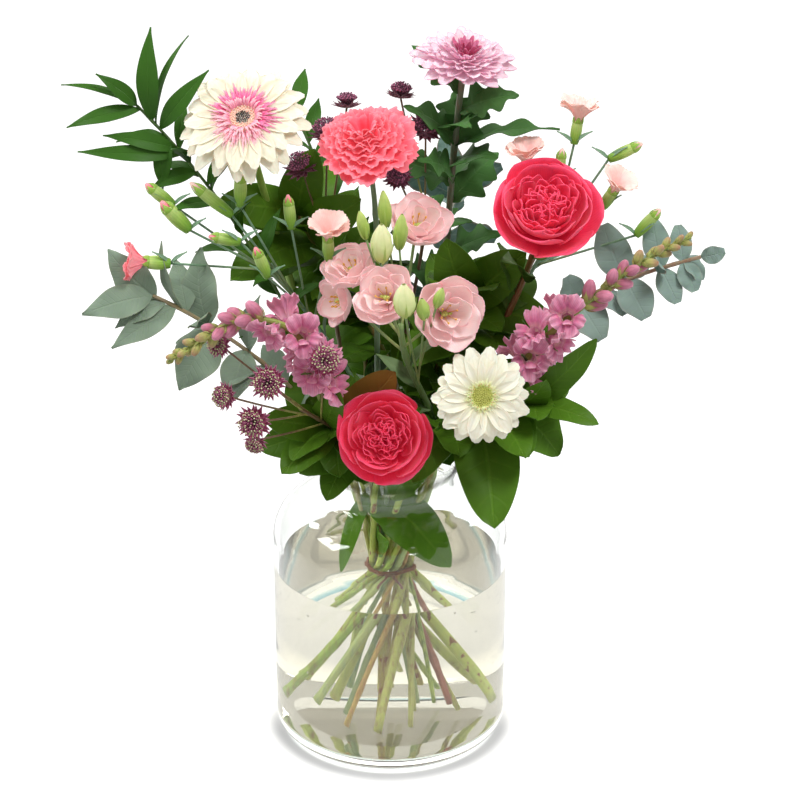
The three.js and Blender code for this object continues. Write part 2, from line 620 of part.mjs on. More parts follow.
const DIANTHUS_LEFT = [
  { from: [-152, -50, 396], to: [-172, -52, 398], open: 16, radius: 5 },
  { from: [-139, -40, 417], to: [-157, -42, 438], radius: 5.5 },
  { from: [-150, -32, 432], to: [-168, -33, 448], radius: 4.5 },
  { from: [-109, -40, 428], to: [-136, -42, 452], radius: 4.5 },
  { from: [-103, -42, 436], to: [-102, -46, 462], radius: 4.6 },
  { from: [-103, -50, 412], to: [-124, -52, 417], radius: 4.2 },
  { from: [-84, -60, 390], to: [-92, -62, 412], radius: 4.4 },
  { from: [-68, -40, 418], to: [-70, -40, 442], radius: 4.2 },
  { from: [-42, -58, 402], to: [-42, -64, 424], open: 18, radius: 4.2 },
];
const DIANTHUS_RIGHT = [
  { from: [128, -22, 474], to: [131, -20, 494], open: 17, radius: 4 },
  { from: [98, -22, 444], to: [95, -24, 464], open: 17, radius: 4 },
  { from: [148, -40, 434], to: [156, -44, 450], open: 17, radius: 4.2 },
  { from: [117, -25, 448], to: [120, -23, 470], radius: 4 },
  { from: [152, -26, 464], to: [174, -28, 476], radius: 4.2 },
  { from: [172, -35, 411], to: [188, -35, 430], radius: 4.2 },
];
const EUCALYPTUS_LEFT = [
  [[-165, -55, 373], [-213, -70, 366], 24, [0, -0.8, 0.6]],
  [[-150, -53, 362], [-193, -76, 343], 20, [0.1, -0.8, 0.6]],
  [[-162, -54, 374], [-196, -44, 404], 28, [-0.4, -0.8, 0.3]],
  [[-146, -50, 362], [-158, -48, 412], 12, [-0.8, -0.6, 0]],
  [[-120, -44, 348], [-148, -66, 306], 34, [-0.3, -0.9, 0.2]],
  [[-126, -44, 352], [-132, -30, 400], 30, [-0.4, -0.8, 0.2]],
  [[-98, -40, 332], [-112, -76, 300], 26, [-0.1, -0.9, 0.3]],
];
const EUCALYPTUS_RIGHT = [
  [[218, -38, 396], [234, -42, 402], 13, [0, -1, 0.2]],
  [[206, -38, 396], [214, -48, 374], 17, [0, -1, 0.3]],
  [[206, -38, 396], [202, -28, 416], 16, [0, -1, 0.3]],
  [[186, -38, 394], [202, -50, 366], 18, [0.2, -1, 0.3]],
  [[186, -38, 394], [184, -26, 420], 20, [0, -1, 0.3]],
  [[160, -36, 384], [180, -54, 356], 26, [0.2, -1, 0.2]],
  [[160, -36, 384], [150, -22, 414], 26, [0, -1, 0.2]],
  [[128, -32, 360], [150, -54, 340], 26, [0.2, -1, 0.2]],
];
const EUCALYPTUS_BACK = [
  [[48, 116, 396], [40, 132, 424], 20, [0, 0.9, 0.4]],
  [[46, 110, 390], [84, 122, 404], 26, [0.2, 0.9, 0.4]],
  [[46, 108, 388], [8, 122, 398], 26, [-0.2, 0.9, 0.4]],
  [[38, 92, 360], [80, 104, 352], 30, [0.2, 0.9, 0.4]],
  [[38, 92, 360], [2, 112, 352], 30, [-0.2, 0.9, 0.4]],
  [[30, 70, 325], [70, 88, 306], 32, [0.2, 0.9, 0.4]],
  [[30, 70, 325], [-8, 92, 306], 32, [-0.2, 0.9, 0.4]],
];
const RUSCUS_LEFT = [
  [[-175, -8, 497], [-201, -20, 524], 12, [0.4, -0.8, 0.4]],
  [[-175, -8, 497], [-226, -14, 514], 6, [0.2, -0.6, 0.8]],
  [[-172, -9, 495], [-223, -20, 485], 12, [0.1, -0.7, 0.7]],
  [[-163, -9, 489], [-164, 0, 551], 16, [-0.2, -1, 0]],
  [[-160, -9, 487], [-138, 0, 545], 7, [-0.8, -0.6, 0]],
  [[-158, -9, 484], [-124, -12, 524], 14, [-0.5, -0.8, 0]],
  [[-152, -9, 476], [-158, -22, 440], 14, [-0.3, -1, 0]],
  [[-146, -9, 468], [-198, -22, 480], 12, [0.2, -0.8, 0.5]],
  [[-143, -9, 462], [-216, -22, 468], 12, [0.1, -0.8, 0.5]],
  [[-134, -9, 450], [-166, -26, 442], 12, [0, -0.7, 0.7]],
  [[-126, -9, 440], [-100, -4, 474], 12, [-0.6, -0.8, 0]],
];
const SALAL_RIGHT = [
  [[52, -84, 262], [73, -122, 226], 46, [0.05, -0.9, 0.4]],
  [[52, -38, 232], [2, -33, 203], 30, [-0.1, -0.9, 0.4]],
  [[44, -62, 262], [16, -92, 246], 26, [0.1, -0.5, 0.8]],
  [[60, -84, 268], [34, -120, 304], 26, [-0.5, -0.7, 0.3]],
  [[68, -80, 266], [94, -116, 278], 34, [0.1, -0.6, 0.8]],
  [[86, -72, 276], [108, -100, 330], 28, [0.3, -0.9, 0.1]],
  [[98, -66, 290], [146, -92, 292], 20, [0, -0.5, 0.9]],
  [[98, -62, 294], [144, -76, 350], 24, [0.4, -0.9, 0.2]],
];
const SALAL_LEFT = [
  [[-10, -28, 188], [44, -58, 160], 38, [0.2, -0.9, 0.4]],
  [[-18, -26, 190], [-36, -34, 142], 13, [-0.3, -0.9, 0.2]],
  [[-6, -18, 150], [-1, -34, 168], 22, [0, -0.9, 0.4]],
  [[-32, -62, 262], [-8, -106, 252], 28, [0.2, -0.5, 0.8]],
  [[-22, -64, 270], [4, -100, 334], 32, [0, -0.8, 0.5]],
  [[-42, -64, 272], [-88, -92, 296], 28, [-0.2, -0.8, 0.6]],
  [[-42, -66, 270], [-68, -104, 270], 26, [-0.3, -0.5, 0.8]],
  [[-40, -62, 276], [-34, -104, 322], 26, [-0.3, -0.9, 0.2]],
];
const SALAL_UPPER = [
  [[-66, 26, 402], [-122, -8, 424], 34, [-0.2, -0.8, 0.6]],
  [[-66, 26, 402], [-52, 0, 462], 32, [-0.1, -0.9, 0.3]],
  [[-60, 24, 384], [-20, -16, 430], 36, [0.2, -0.8, 0.5]],
  [[-58, 24, 376], [-112, -24, 372], 38, [-0.2, -0.7, 0.7]],
  [[-50, 22, 352], [-4, -34, 366], 36, [0.1, -0.7, 0.7]],
  [[-46, 20, 334], [-84, -36, 326], 38, [-0.2, -0.7, 0.7]],
];
const SALAL_MIDDLE = [
  [[58, -8, 350], [118, -36, 340], 36, [0.2, -0.8, 0.5]],
  [[56, -8, 348], [40, -34, 408], 34, [-0.1, -0.9, 0.3]],
  [[40, -8, 306], [78, -62, 300], 34, [0.2, -0.7, 0.7]],
  [[56, -10, 346], [70, -60, 380], 34, [0.2, -0.8, 0.6]],
  [[58, -8, 350], [96, -30, 396], 34, [-0.2, -0.9, 0.4]],
  [[52, -10, 336], [34, -66, 340], 32, [-0.2, -0.4, 0.9]],
  [[46, -8, 322], [10, -58, 322], 34, [0, -0.6, 0.8]],
  [[50, -6, 334], [82, -56, 330], 30, [0.3, -0.6, 0.7]],
];
const SALAL_BACK = [
  [[-22, 82, 326], [-66, 112, 346], 34, [-0.3, 0.7, 0.6]],
  [[-20, 80, 322], [22, 112, 290], 34, [0.2, 0.8, 0.6]],
  [[-22, 76, 312], [-64, 104, 286], 34, [-0.3, 0.8, 0.5]],
  [[-18, 60, 286], [10, 96, 256], 36, [0.2, 0.8, 0.5]],
  [[-18, 60, 286], [-44, 92, 254], 34, [-0.3, 0.8, 0.5]],
];

// Small leaves set alternately along a thin trailing stem.
const RUSCUS_BACK = { count: 9, length: 44 };
function ruscusLeaves(stem, { count, length }) {
  return Array.from({ length: count }, (_, i) => {
    const t = 0.35 + (0.64 * i) / (count - 1);
    const at = stemPoint(stem, t);
    const along = stemWay(stem, t);
    const side = V(0, 0, 1).cross(along).normalize().multiplyScalar(i % 2 ? 1 : -1);
    const way = side.addScaledVector(along, 0.9).add(V(0, 0, 0.25 * draw(i, 11))).normalize();
    const tip = at.clone().addScaledVector(way, length * (1 + 0.15 * draw(i, 12)));
    return [at.toArray(), tip.toArray(), length * 0.3, [0.2 * draw(i, 13), -0.3, 1]];
  });
}

// ---------------------------------------------------------------- the bottle, its water and the tie
function arcPoints(cx, cy, rx, ry, from, to, steps) {
  return Array.from({ length: steps + 1 }, (_, i) => {
    const a = rad(from + ((to - from) * i) / steps);
    return [cx + rx * Math.cos(a), cy + ry * Math.sin(a)];
  });
}

function lathe(profile, sides) {
  const points = profile.map(([x, y]) => new THREE.Vector2(x, y));
  return toSolid(new THREE.LatheGeometry(points, sides).rotateX(Math.PI / 2));
}

function bottleSolid(m) {
  const b = BOTTLE;
  const shoulder = b.radius - b.neckRadius;
  const high = b.shoulderTo - b.shoulderFrom;
  const outside = [
    [0, -m], [b.radius - b.footRound, -m],
    ...arcPoints(b.radius - b.footRound, b.footRound, b.footRound + m, b.footRound + m, -45, 0, 1),
    ...arcPoints(b.neckRadius, b.shoulderFrom, shoulder + m, high + m, 0, 76, 3),
    [b.neckRadius + m, b.shoulderTo + 5], [b.neckRadius + 4 + m, b.shoulderTo + 17],
    [b.rimRadius + m, b.height + m],
  ];
  const w = b.wall + 2 * m;
  const drop = 0.4; // makes the shoulder about as thick as the wall
  const lower = (z) => (z < b.shoulderTo ? z - drop - 2 * m : z);
  const inner = outside.filter(([, z]) => z > b.footRound).reverse().map(([r, z]) => [r - w, lower(z)]);
  const corner = b.radius - b.footRound;
  const floor = [[b.radius - w, b.floor + 5], [corner - 1, b.floor + m], [0, b.floor + m]];
  return lathe([...outside, ...inner, ...floor], b.sides);
}

function waterSolid() {
  const b = BOTTLE;
  const r = b.radius - b.wall - GAP;
  const corner = b.radius - b.footRound - 1;
  return lathe([[0, b.floor + GAP], [corner, b.floor + GAP], [r, b.floor + 5 + GAP], [r, WATER_LEVEL],
    [0, WATER_LEVEL]], b.sides);
}

// Two turns of twine round the waist of the stems.
function tieSolid(m) {
  const inner = WAIST.radius + GAP - m;
  const outer = WAIST.radius + GAP + TIE.thick + m;
  const [low, high] = [WAIST.height - TIE.band / 2 - m, WAIST.height + TIE.band / 2 + m];
  const [quarter, dip] = [TIE.band / 4, 0.9];
  return lathe([
    [inner, low], [outer - dip, low], [outer, low + quarter], [outer - dip, WAIST.height],
    [outer, high - quarter], [outer - dip, high], [inner, high], [inner, low],
  ], TIE.sides);
}

// ---------------------------------------------------------------- assembly
const bouquet = new THREE.Group();
const keepOuts = []; // the pieces placed so far, each grown by the gap

function boxesMeet(a, b) {
  const [p, q] = [a.boundingBox(), b.boundingBox()];
  return [0, 1, 2].every((i) => p.min[i] < q.max[i] && q.min[i] < p.max[i]);
}

// Places one named piece of a plant. make(m, stem) gives its solids, grown by m all round. Where it
// would meet a piece that is already there, or another plant's stem, it is cut clear of it, and a
// loose scrap that this leaves is dropped.
function place(name, plant, [color, roughness], make, extra = {}) {
  const stem = STEMS[plant];
  const others = Object.values(STEMS).filter((s) => s !== stem);
  const cut = (solid, cutters) =>
    cutters.reduce((rest, c) => (boxesMeet(rest, c) ? rest.subtract(c) : rest), solid);
  const whole = cut(union(make(0, stem)).simplify(SMOOTH), keepOuts);
  const pieces = (plant ? cut(whole, others.map((s) => s.clear)) : whole).decompose();
  const body = pieces.sort((a, b) => b.volume() - a.volume())[0].simplify(TRIM);
  const swollen = make(GAP, stem);
  const grown = name.endsWith("petals") ? wasm.Manifold.hull(swollen) : union(swollen);
  keepOuts.push(plant ? cut(grown, others.map((s) => s.near)) : grown);
  const material = new THREE.MeshStandardMaterial({ color, roughness, metalness: 0, ...extra });
  const mesh = new THREE.Mesh(toGeometry(body), material);
  mesh.name = name;
  bouquet.add(mesh);
}

// A spray that is one piece has its plant's name.
const spray = (name, look, make) => place(name, name, look, make);

for (const stem of Object.values(STEMS)) {
  stem.clear = stemRod(stem, GAP);
  stem.near = stemRod(stem, GAP / 3);
}

// Each look is a colour and a roughness.
const GREEN = [0x4f7a2a, 0.6];
const DARK_GREEN = [0x2c5a17, 0.45];
const GREY_GREEN = [0x8fa597, 0.7];
const PLUM = [0x6b2a42, 0.7];
const ROSE_LEAVES = [[0.5, 44, 26], [0.62, 42, 26], [0.74, 40, 24], [0.84, 34, 20]];

place("bottle", null, [0xeef4f2, 0.05], (m) => [bottleSolid(m)], { transparent: true, opacity: 0.35 });
place("tie", null, [0x8a4a24, 0.9], (m) => [tieSolid(m)]);

place("gerbera_cream_stem", "gerbera_cream", GREEN, (m, s) => gerberaStem(s, m));
place("gerbera_white_stem", "gerbera_white", GREEN, (m, s) => gerberaStem(s, m));
place("carnation_stem", "carnation", GREEN, (m, s) => carnationStem(s, m));
place("rose_high_stem", "rose_high", GREEN, (m, s) => roseStem(s, ROSE_LEAVES, m));
place("rose_low_stem", "rose_low", GREEN, (m, s) => roseStem(s, [], m));
place("chrysanthemum_stem", "chrysanthemum", GREEN, (m, s) => chrysanthemumStem(s, m));

const { cream, white } = GERBERA;
place("gerbera_cream_heart", "gerbera_cream", [0xf08aa6, 0.7], (m, s) => gerberaHeart(s, cream, m));
place("gerbera_cream_petals", "gerbera_cream", [0xf8efe2, 0.6], (m, s) => gerberaPetals(s, cream, m));
place("gerbera_white_heart", "gerbera_white", [0xdfe07a, 0.7], (m, s) => gerberaHeart(s, white, m));
place("gerbera_white_petals", "gerbera_white", [0xfbf8ee, 0.6], (m, s) => gerberaPetals(s, white, m));
place("carnation_petals", "carnation", [0xff6f84, 0.65], (m, s) => carnationBloom(s, m));
place("chrysanthemum_petals", "chrysanthemum", [0xf3c6d4, 0.65], (m, s) => chrysanthemumBloom(s, m));
place("rose_high_petals", "rose_high", [0xe8305a, 0.6], (m, s) => roseBloom(s, m));
place("rose_low_petals", "rose_low", [0xe8244e, 0.6], (m, s) => roseBloom(s, m));

place("lisianthus_stem", "lisianthus", GREEN, (m, s) => lisianthusSpray(s, m));
for (const bloom of LISIANTHUS_BLOOMS) {
  const name = `lisianthus_bloom_${bloom.name}`;
  place(name, "lisianthus", [0xf6b9bd, 0.65], (m) => lisianthusBloom(bloom, m));
}
spray("snapdragon_left", [0xd9789a, 0.65], (m, s) => snapdragonSpike(s, SPIKE_LEFT, m));
spray("snapdragon_right", [0xcf7397, 0.65], (m, s) => snapdragonSpike(s, SPIKE_RIGHT, m));
spray("astrantia_front", [0x9c3f5e, 0.7], (m, s) => astrantiaSpray(s, ASTRANTIA_FRONT, m));
spray("astrantia_left", PLUM, (m, s) => astrantiaSpray(s, ASTRANTIA_LEFT, m));
spray("astrantia_right", PLUM, (m, s) => astrantiaSpray(s, ASTRANTIA_RIGHT, m));
spray("dianthus_left", [0x9cbf52, 0.6], (m, s) => dianthusSpray(s, DIANTHUS_LEFT, m));
spray("dianthus_right", [0x9cbf52, 0.6], (m, s) => dianthusSpray(s, DIANTHUS_RIGHT, m));

const round = { shape: ROUND, arch: 0.05 };
const narrow = { rows: 2, columns: 1, arch: 0.14 };
spray("eucalyptus_left", GREY_GREEN, (m, s) => leafySpray(s, EUCALYPTUS_LEFT, m));
spray("eucalyptus_right", GREY_GREEN, (m, s) => leafySpray(s, EUCALYPTUS_RIGHT, m, round));
spray("eucalyptus_back", GREY_GREEN, (m, s) => leafySpray(s, EUCALYPTUS_BACK, m, round));
spray("ruscus_left", DARK_GREEN, (m, s) => leafySpray(s, RUSCUS_LEFT, m, narrow));
spray("ruscus_back", DARK_GREEN, (m, s) => leafySpray(s, ruscusLeaves(s, RUSCUS_BACK), m, narrow));
spray("salal_right", DARK_GREEN, (m, s) => leafySpray(s, SALAL_RIGHT, m));
spray("salal_left", DARK_GREEN, (m, s) => leafySpray(s, SALAL_LEFT, m));
spray("salal_upper", DARK_GREEN, (m, s) => leafySpray(s, SALAL_UPPER, m));
spray("salal_middle", DARK_GREEN, (m, s) => leafySpray(s, SALAL_MIDDLE, m));
spray("salal_back", DARK_GREEN, (m, s) => leafySpray(s, SALAL_BACK, m));
place("water", null, [0xe9f0e2, 0.02], () => [waterSolid()], { transparent: true, opacity: 0.3 });

export default bouquet;
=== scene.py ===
"""A hand-tied bouquet of gerberas, roses and mixed flowers in a clear glass bottle of water.

Lengths are in millimetres until a mesh is made. The bouquet's front faces -Y and +Z is up.
"""

import functools
import math

import bpy
import numpy as np
from bpy.props import FloatProperty, FloatVectorProperty, IntProperty, PointerProperty
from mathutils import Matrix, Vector


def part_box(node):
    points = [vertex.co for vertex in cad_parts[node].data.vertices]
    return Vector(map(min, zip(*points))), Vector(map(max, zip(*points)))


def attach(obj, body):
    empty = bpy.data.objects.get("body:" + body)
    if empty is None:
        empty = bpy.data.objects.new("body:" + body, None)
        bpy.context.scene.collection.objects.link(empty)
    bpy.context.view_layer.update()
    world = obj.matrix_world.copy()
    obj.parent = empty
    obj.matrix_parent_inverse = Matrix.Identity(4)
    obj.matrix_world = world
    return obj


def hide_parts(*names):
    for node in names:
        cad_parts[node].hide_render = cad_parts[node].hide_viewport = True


bl_info = {
    "name": "Bouquet in a Bottle",
    "version": (1, 0, 0),
    "blender": (4, 5, 0),
    "location": "View3D > Sidebar > Bouquet",
    "description": "Makes a mixed bouquet of cut flowers in a clear glass bottle of water",
    "category": "Add Mesh",
}

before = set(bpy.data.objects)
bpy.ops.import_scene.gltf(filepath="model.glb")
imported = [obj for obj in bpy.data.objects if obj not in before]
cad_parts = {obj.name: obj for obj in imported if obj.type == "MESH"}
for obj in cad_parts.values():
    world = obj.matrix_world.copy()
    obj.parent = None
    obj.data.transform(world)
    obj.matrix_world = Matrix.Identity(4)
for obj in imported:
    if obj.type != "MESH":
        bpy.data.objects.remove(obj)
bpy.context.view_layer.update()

# ---------------------------------------------------------------- sizes and places
MM = 0.001
TURN = 2 * math.pi
GOLDEN = math.pi * (3 - math.sqrt(5))
UP = np.array((0.0, 0.0, 1.0))


def size_of(node):
    """The lowest and highest corners of a solid, in millimetres."""
    low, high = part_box(node)
    return np.array(low) / MM, np.array(high) / MM


# The bottle: its outer size from the frame, its glass, and the heights of its shoulder and neck.
BOTTLE_HEIGHT = float(size_of("bottle")[1][2])
BOTTLE_RADIUS = float(size_of("bottle")[1][0])
WATER_LEVEL = float(size_of("water")[1][2])
WALL = 3.5
FLOOR = 8.0
FLOOR_ROUND = 7.0
FOOT_ROUND = 10.0
STAND_RADIUS = 60.0
PUSHED_UP = 1.0
SHOULDER = {"from": 158.0, "to": 193.0}
NECK_RADIUS = 46.5
NECK_HEIGHT = 196.0
RIM_RADIUS = 57.0

# The bundle's waist at the tie, the heights of the stems' feet, the gap under a bloom on its stem,
# a radius that stands for the axis and a length that keeps a division from failing.
WAIST = {"height": 126.0, "radius": 18.0}
FOOT = {"lowest": 13.0, "spread": 24.0}
SEAT = 0.4
AXIS = 0.01
NEARLY_NONE = 1e-9

# Where each kind's random draws start, and the reach in millimetres at which some blooms are drawn.
SEEDS = {
    "cream gerbera": 1, "white gerbera": 2, "carnation": 3, "chrysanthemum": 4, "bubbles": 7, "scales": 31,
    "roses": 50, "lisianthus": 60, "lisianthus spray": 70, "snapdragons": 80, "astrantias": 90,
    "broad leaves": 100, "dianthus": 110, "eucalyptus": 200, "narrow leaves": 300,
}
DRAWN_REACH = {"rose": 26, "lisianthus": 22, "astrantia": 14}

# How the stems lie in the tie: the turn of the bundle for each millimetre below and above it, how
# far a head pulls its stem, and how the packing draws the stems in and pushes them apart.
SWIRL = {"below": 0.036, "above": 0.026}
PACKING = {"rounds": 400, "pull": 0.06, "squeeze": 0.97, "slack": 2.2}

# How a free stem leaves the neck and reaches its head, as shares of the way between them, and how
# it bows clear of the blooms and the other stems.
LEAVING, REACHING, BOW_AT_HEAD = 0.4, 0.3, 0.5
BOWING = {"rounds": 150, "points": 24, "clear": 0.9, "depth": 0.4, "blooms": 0.12, "stems": 0.6, "gap": 1.2}


def unit(v):
    """A vector, or a field of them, with length 1."""
    v = np.asarray(v, float)
    return v / np.maximum(np.linalg.norm(v, axis=-1, keepdims=True), NEARLY_NONE)


def plant(head, faces, depth, radius, bloom=0):
    """A row of the plants' table."""
    return {
        "head": np.array(head, float), "faces": unit(faces), "depth": float(depth),
        "radius": float(radius), "bloom": float(bloom),
    }


# Each plant: its head's place, the way it faces, its depth, its stem's radius and its bloom's room.
STEMS = {
    "gerbera_cream": plant((-100, -30, 494), (-0.1, -0.62, 0.78), 13, 3.2, 26),
    "gerbera_white": plant((63, -125, 329), (0.08, -0.9, 0.43), 11, 2.6, 22),
    "carnation": plant((-16, -40, 483), (-0.1, -0.45, 0.89), 38, 2.3, 30),
    "chrysanthemum": plant((53, 0, 529), (0.12, -0.2, 0.97), 14, 2.8, 28),
    "rose_high": plant((106, -70, 444), (0.05, -0.62, 0.78), 26, 2.7, 32),
    "rose_low": plant((-3, -110, 291), (-0.1, -0.85, 0.5), 23.4, 2.4, 28),
    "lisianthus": plant((8, -78, 362), (0, -0.1, 1), 0, 2.6),
    "snapdragon_left": plant((-49, -92, 318), (-0.2, -0.2, 1), 0, 2.8),
    "snapdragon_right": plant((88, -78, 322), (0.6, -0.1, 0.8), 0, 2.8),
    "astrantia_front": plant((-62, -92, 304), (-0.6, -0.5, 0.6), 0, 1.7),
    "astrantia_left": plant((-48, 12, 398), (-0.1, 0, 1), 0, 1.6),
    "astrantia_right": plant((26, 22, 412), (0, 0, 1), 0, 1.6),
    "dianthus_left": plant((-84, -22, 384), (-0.5, 0, 0.8), 0, 1.8),
    "dianthus_right": plant((119, -12, 414), (0.3, 0, 0.9), 0, 1.8),
    "eucalyptus_left": plant((-165, -55, 374), (-0.9, -0.1, 0.5), 0, 1.7),
    "eucalyptus_right": plant((218, -38, 396), (0.9, 0, 0.25), 0, 1.7),
    "eucalyptus_back": plant((50, 120, 400), (0.1, 0.6, 0.7), 0, 1.7),
    "ruscus_left": plant((-175, -8, 497), (-0.6, 0.1, 0.6), 0, 1.3),
    "ruscus_back": plant((-70, 100, 455), (-0.4, 0.3, 0.8), 0, 1.3),
    "salal_right": plant((98, -66, 296), (0.8, -0.3, 0.4), 0, 2),
    "salal_left": plant((-44, -62, 276), (-0.6, -0.6, 0.5), 0, 2),
    "salal_upper": plant((-66, 26, 402), (-0.4, -0.1, 0.9), 0, 2),
    "salal_middle": plant((58, -8, 350), (0.3, 0, 0.9), 0, 2),
    "salal_back": plant((-22, 84, 330), (-0.1, 0.7, 0.7), 0, 2),
}


def draws_for(kind, k=0):
    """The random draws of the kth plant of a kind."""
    return np.random.default_rng(SEEDS[kind] + k)


def draw(n, salt):
    """A repeatable draw between -1 and 1 for the nth of something; salt keeps two draws apart."""
    step, salt_step, spread = 12.9898, 78.233, 43758.5453
    s = math.sin(n * step + salt * salt_step) * spread
    return 2 * (s - math.floor(s)) - 1


# ---------------------------------------------------------------- the bundle of stems
def pack_bundle(stems):
    """Gives each stem its place in the tie: squeezed together, then pushed apart side by side."""
    rise = BOTTLE_HEIGHT - WAIST["height"]
    turn = -math.atan(SWIRL["above"] * rise)
    spin = np.array(((math.cos(turn), math.sin(turn)), (-math.sin(turn), math.cos(turn))))
    slots = [PACKING["pull"] * stem["head"][:2] @ spin for stem in stems]
    for _ in range(PACKING["rounds"]):
        slots = [PACKING["squeeze"] * slot for slot in slots]
        for i, a in enumerate(stems):
            for j in range(i + 1, len(stems)):
                apart = slots[j] - slots[i]
                length = math.hypot(*apart)
                push = (a["radius"] + stems[j]["radius"] + PACKING["slack"] - length) / 2
                if push > 0:
                    shift = apart * (push / max(length, NEARLY_NONE))
                    slots[i] = slots[i] - shift
                    slots[j] = slots[j] + shift
        for i, a in enumerate(stems):
            limit = WAIST["radius"] - a["radius"]
            slots[i] = slots[i] * min(1, limit / max(math.hypot(*slots[i]), NEARLY_NONE))
    for stem, slot in zip(stems, slots):
        stem["slot"] = slot


def bundle_point(stem, z):
    """A point of a stem inside the bottle, at height z."""
    t = (z - WAIST["height"]) * SWIRL["below" if z < WAIST["height"] else "above"]
    x, y = stem["slot"]
    return np.array((x - t * y, y + t * x, z))


def bezier(points, t):
    """A curve through control points; t may be an array, and the result has one more axis."""
    t = np.asarray(t, float)
    layers = [np.asarray(p, float) * np.ones(t.shape + (len(p),)) for p in points]
    while len(layers) > 1:
        layers = [a + (b - a) * t[..., None] for a, b in zip(layers, layers[1:])]
    return layers[0]


def free_curve(stem, t):
    """The free part of a stem, from the bottle's neck to the back of its head."""
    start = bundle_point(stem, NECK_HEIGHT)
    way = unit(start - bundle_point(stem, NECK_HEIGHT - 1))
    end = stem["head"] - stem["faces"] * stem["depth"]
    reach = np.linalg.norm(end - start)
    lift = start + way * reach * LEAVING + stem["bow"]
    back = end - stem["faces"] * reach * REACHING + BOW_AT_HEAD * stem["bow"]
    return bezier((start, lift, back, end), t)


def stem_at(stem, t):
    """A point of a stem's free part and the way the stem runs there."""
    return free_curve(stem, t), unit(free_curve(stem, t + 0.02) - free_curve(stem, t - 0.02))


def clear_stems(stems):
    """Bows the stems over the neck a little, so that they pass one another and the big blooms."""
    for stem in stems:
        stem["bow"] = np.zeros(3)
    count = BOWING["points"]
    share = np.linspace(0, 1, count + 1)
    free = np.arange(count + 1) < BOWING["clear"] * count
    radii = np.array([stem["radius"] for stem in stems])
    for _ in range(BOWING["rounds"]):
        lines = np.array([free_curve(stem, share) for stem in stems])
        moves = np.zeros((len(stems), 3))
        for bloom in (stem for stem in stems if stem["bloom"]):
            centre = bloom["head"] - bloom["faces"] * bloom["depth"] * BOWING["depth"]
            out = lines - centre
            far = np.linalg.norm(out, axis=2)
            push = np.maximum(0, bloom["bloom"] + radii[:, None] - far) * free
            push[[stem is bloom for stem in stems]] = 0
            moves += BOWING["blooms"] * np.sum(out / far[..., None] * push[..., None], axis=1)
        for i in range(len(stems) - 1):
            apart = lines[i + 1:, None, :, :] - lines[i][None, :, None, :]
            far = np.linalg.norm(apart, axis=3).reshape(len(stems) - 1 - i, -1)
            nearest = np.argmin(far, axis=1)
            gap = far[np.arange(len(far)), nearest]
            want = radii[i] + radii[i + 1:] + BOWING["gap"]
            way = unit(apart.reshape(len(far), -1, 3)[np.arange(len(far)), nearest])
            shift = way * (BOWING["stems"] * np.maximum(0, want - gap))[:, None]
            moves[i] -= shift.sum(axis=0)
            moves[i + 1:] += shift
        for stem, move in zip(stems, moves):
            stem["bow"] = stem["bow"] + move


def branch_root(stem, i, step=0.03):
    """Where the ith branch leaves a stem, counted down from near its top."""
    highest = 0.97
    return free_curve(stem, highest - step * i)


@functools.lru_cache(maxsize=1)
def bundle():
    """All the stems, packed at the tie and bowed clear of each other."""
    stems = list(STEMS.values())
    pack_bundle(stems)
    clear_stems(stems)
    return STEMS


def on_stem(stem, point):
    """The place on a stem that lies nearest to a point."""
    in_bottle = [bundle_point(stem, z) for z in (175, 150)]
    line = np.vstack((free_curve(stem, np.linspace(0, 1, 81)), in_bottle))
    return line[np.argmin(np.linalg.norm(line - np.asarray(point, float), axis=1))]


def sideways(along, hint, turn):
    """A direction square to along and turned about it."""
    side = unit(np.cross(hint, along))
    return side * math.cos(turn) + np.cross(along, side) * math.sin(turn)


def facing(at, faces):
    """A flower's place and its three axes; the last is the way it faces."""
    z = unit(faces)
    x = np.cross(UP, z)
    x = unit(x) if np.linalg.norm(x) > 1e-3 else np.array((1.0, 0.0, 0.0))
    return np.asarray(at, float), np.stack((x, np.cross(z, x), z))


def head_place(stem):
    """The place and axes of a stem's head."""
    return facing(stem["head"], stem["faces"])


def put(place, local):
    """Points of a flower's own frame, in the bouquet's."""
    at, axes = place
    return at + np.asarray(local, float) @ axes


def scaled(place, factor):
    """The same place for a flower that is drawn larger or smaller."""
    at, axes = place
    return at, axes * factor


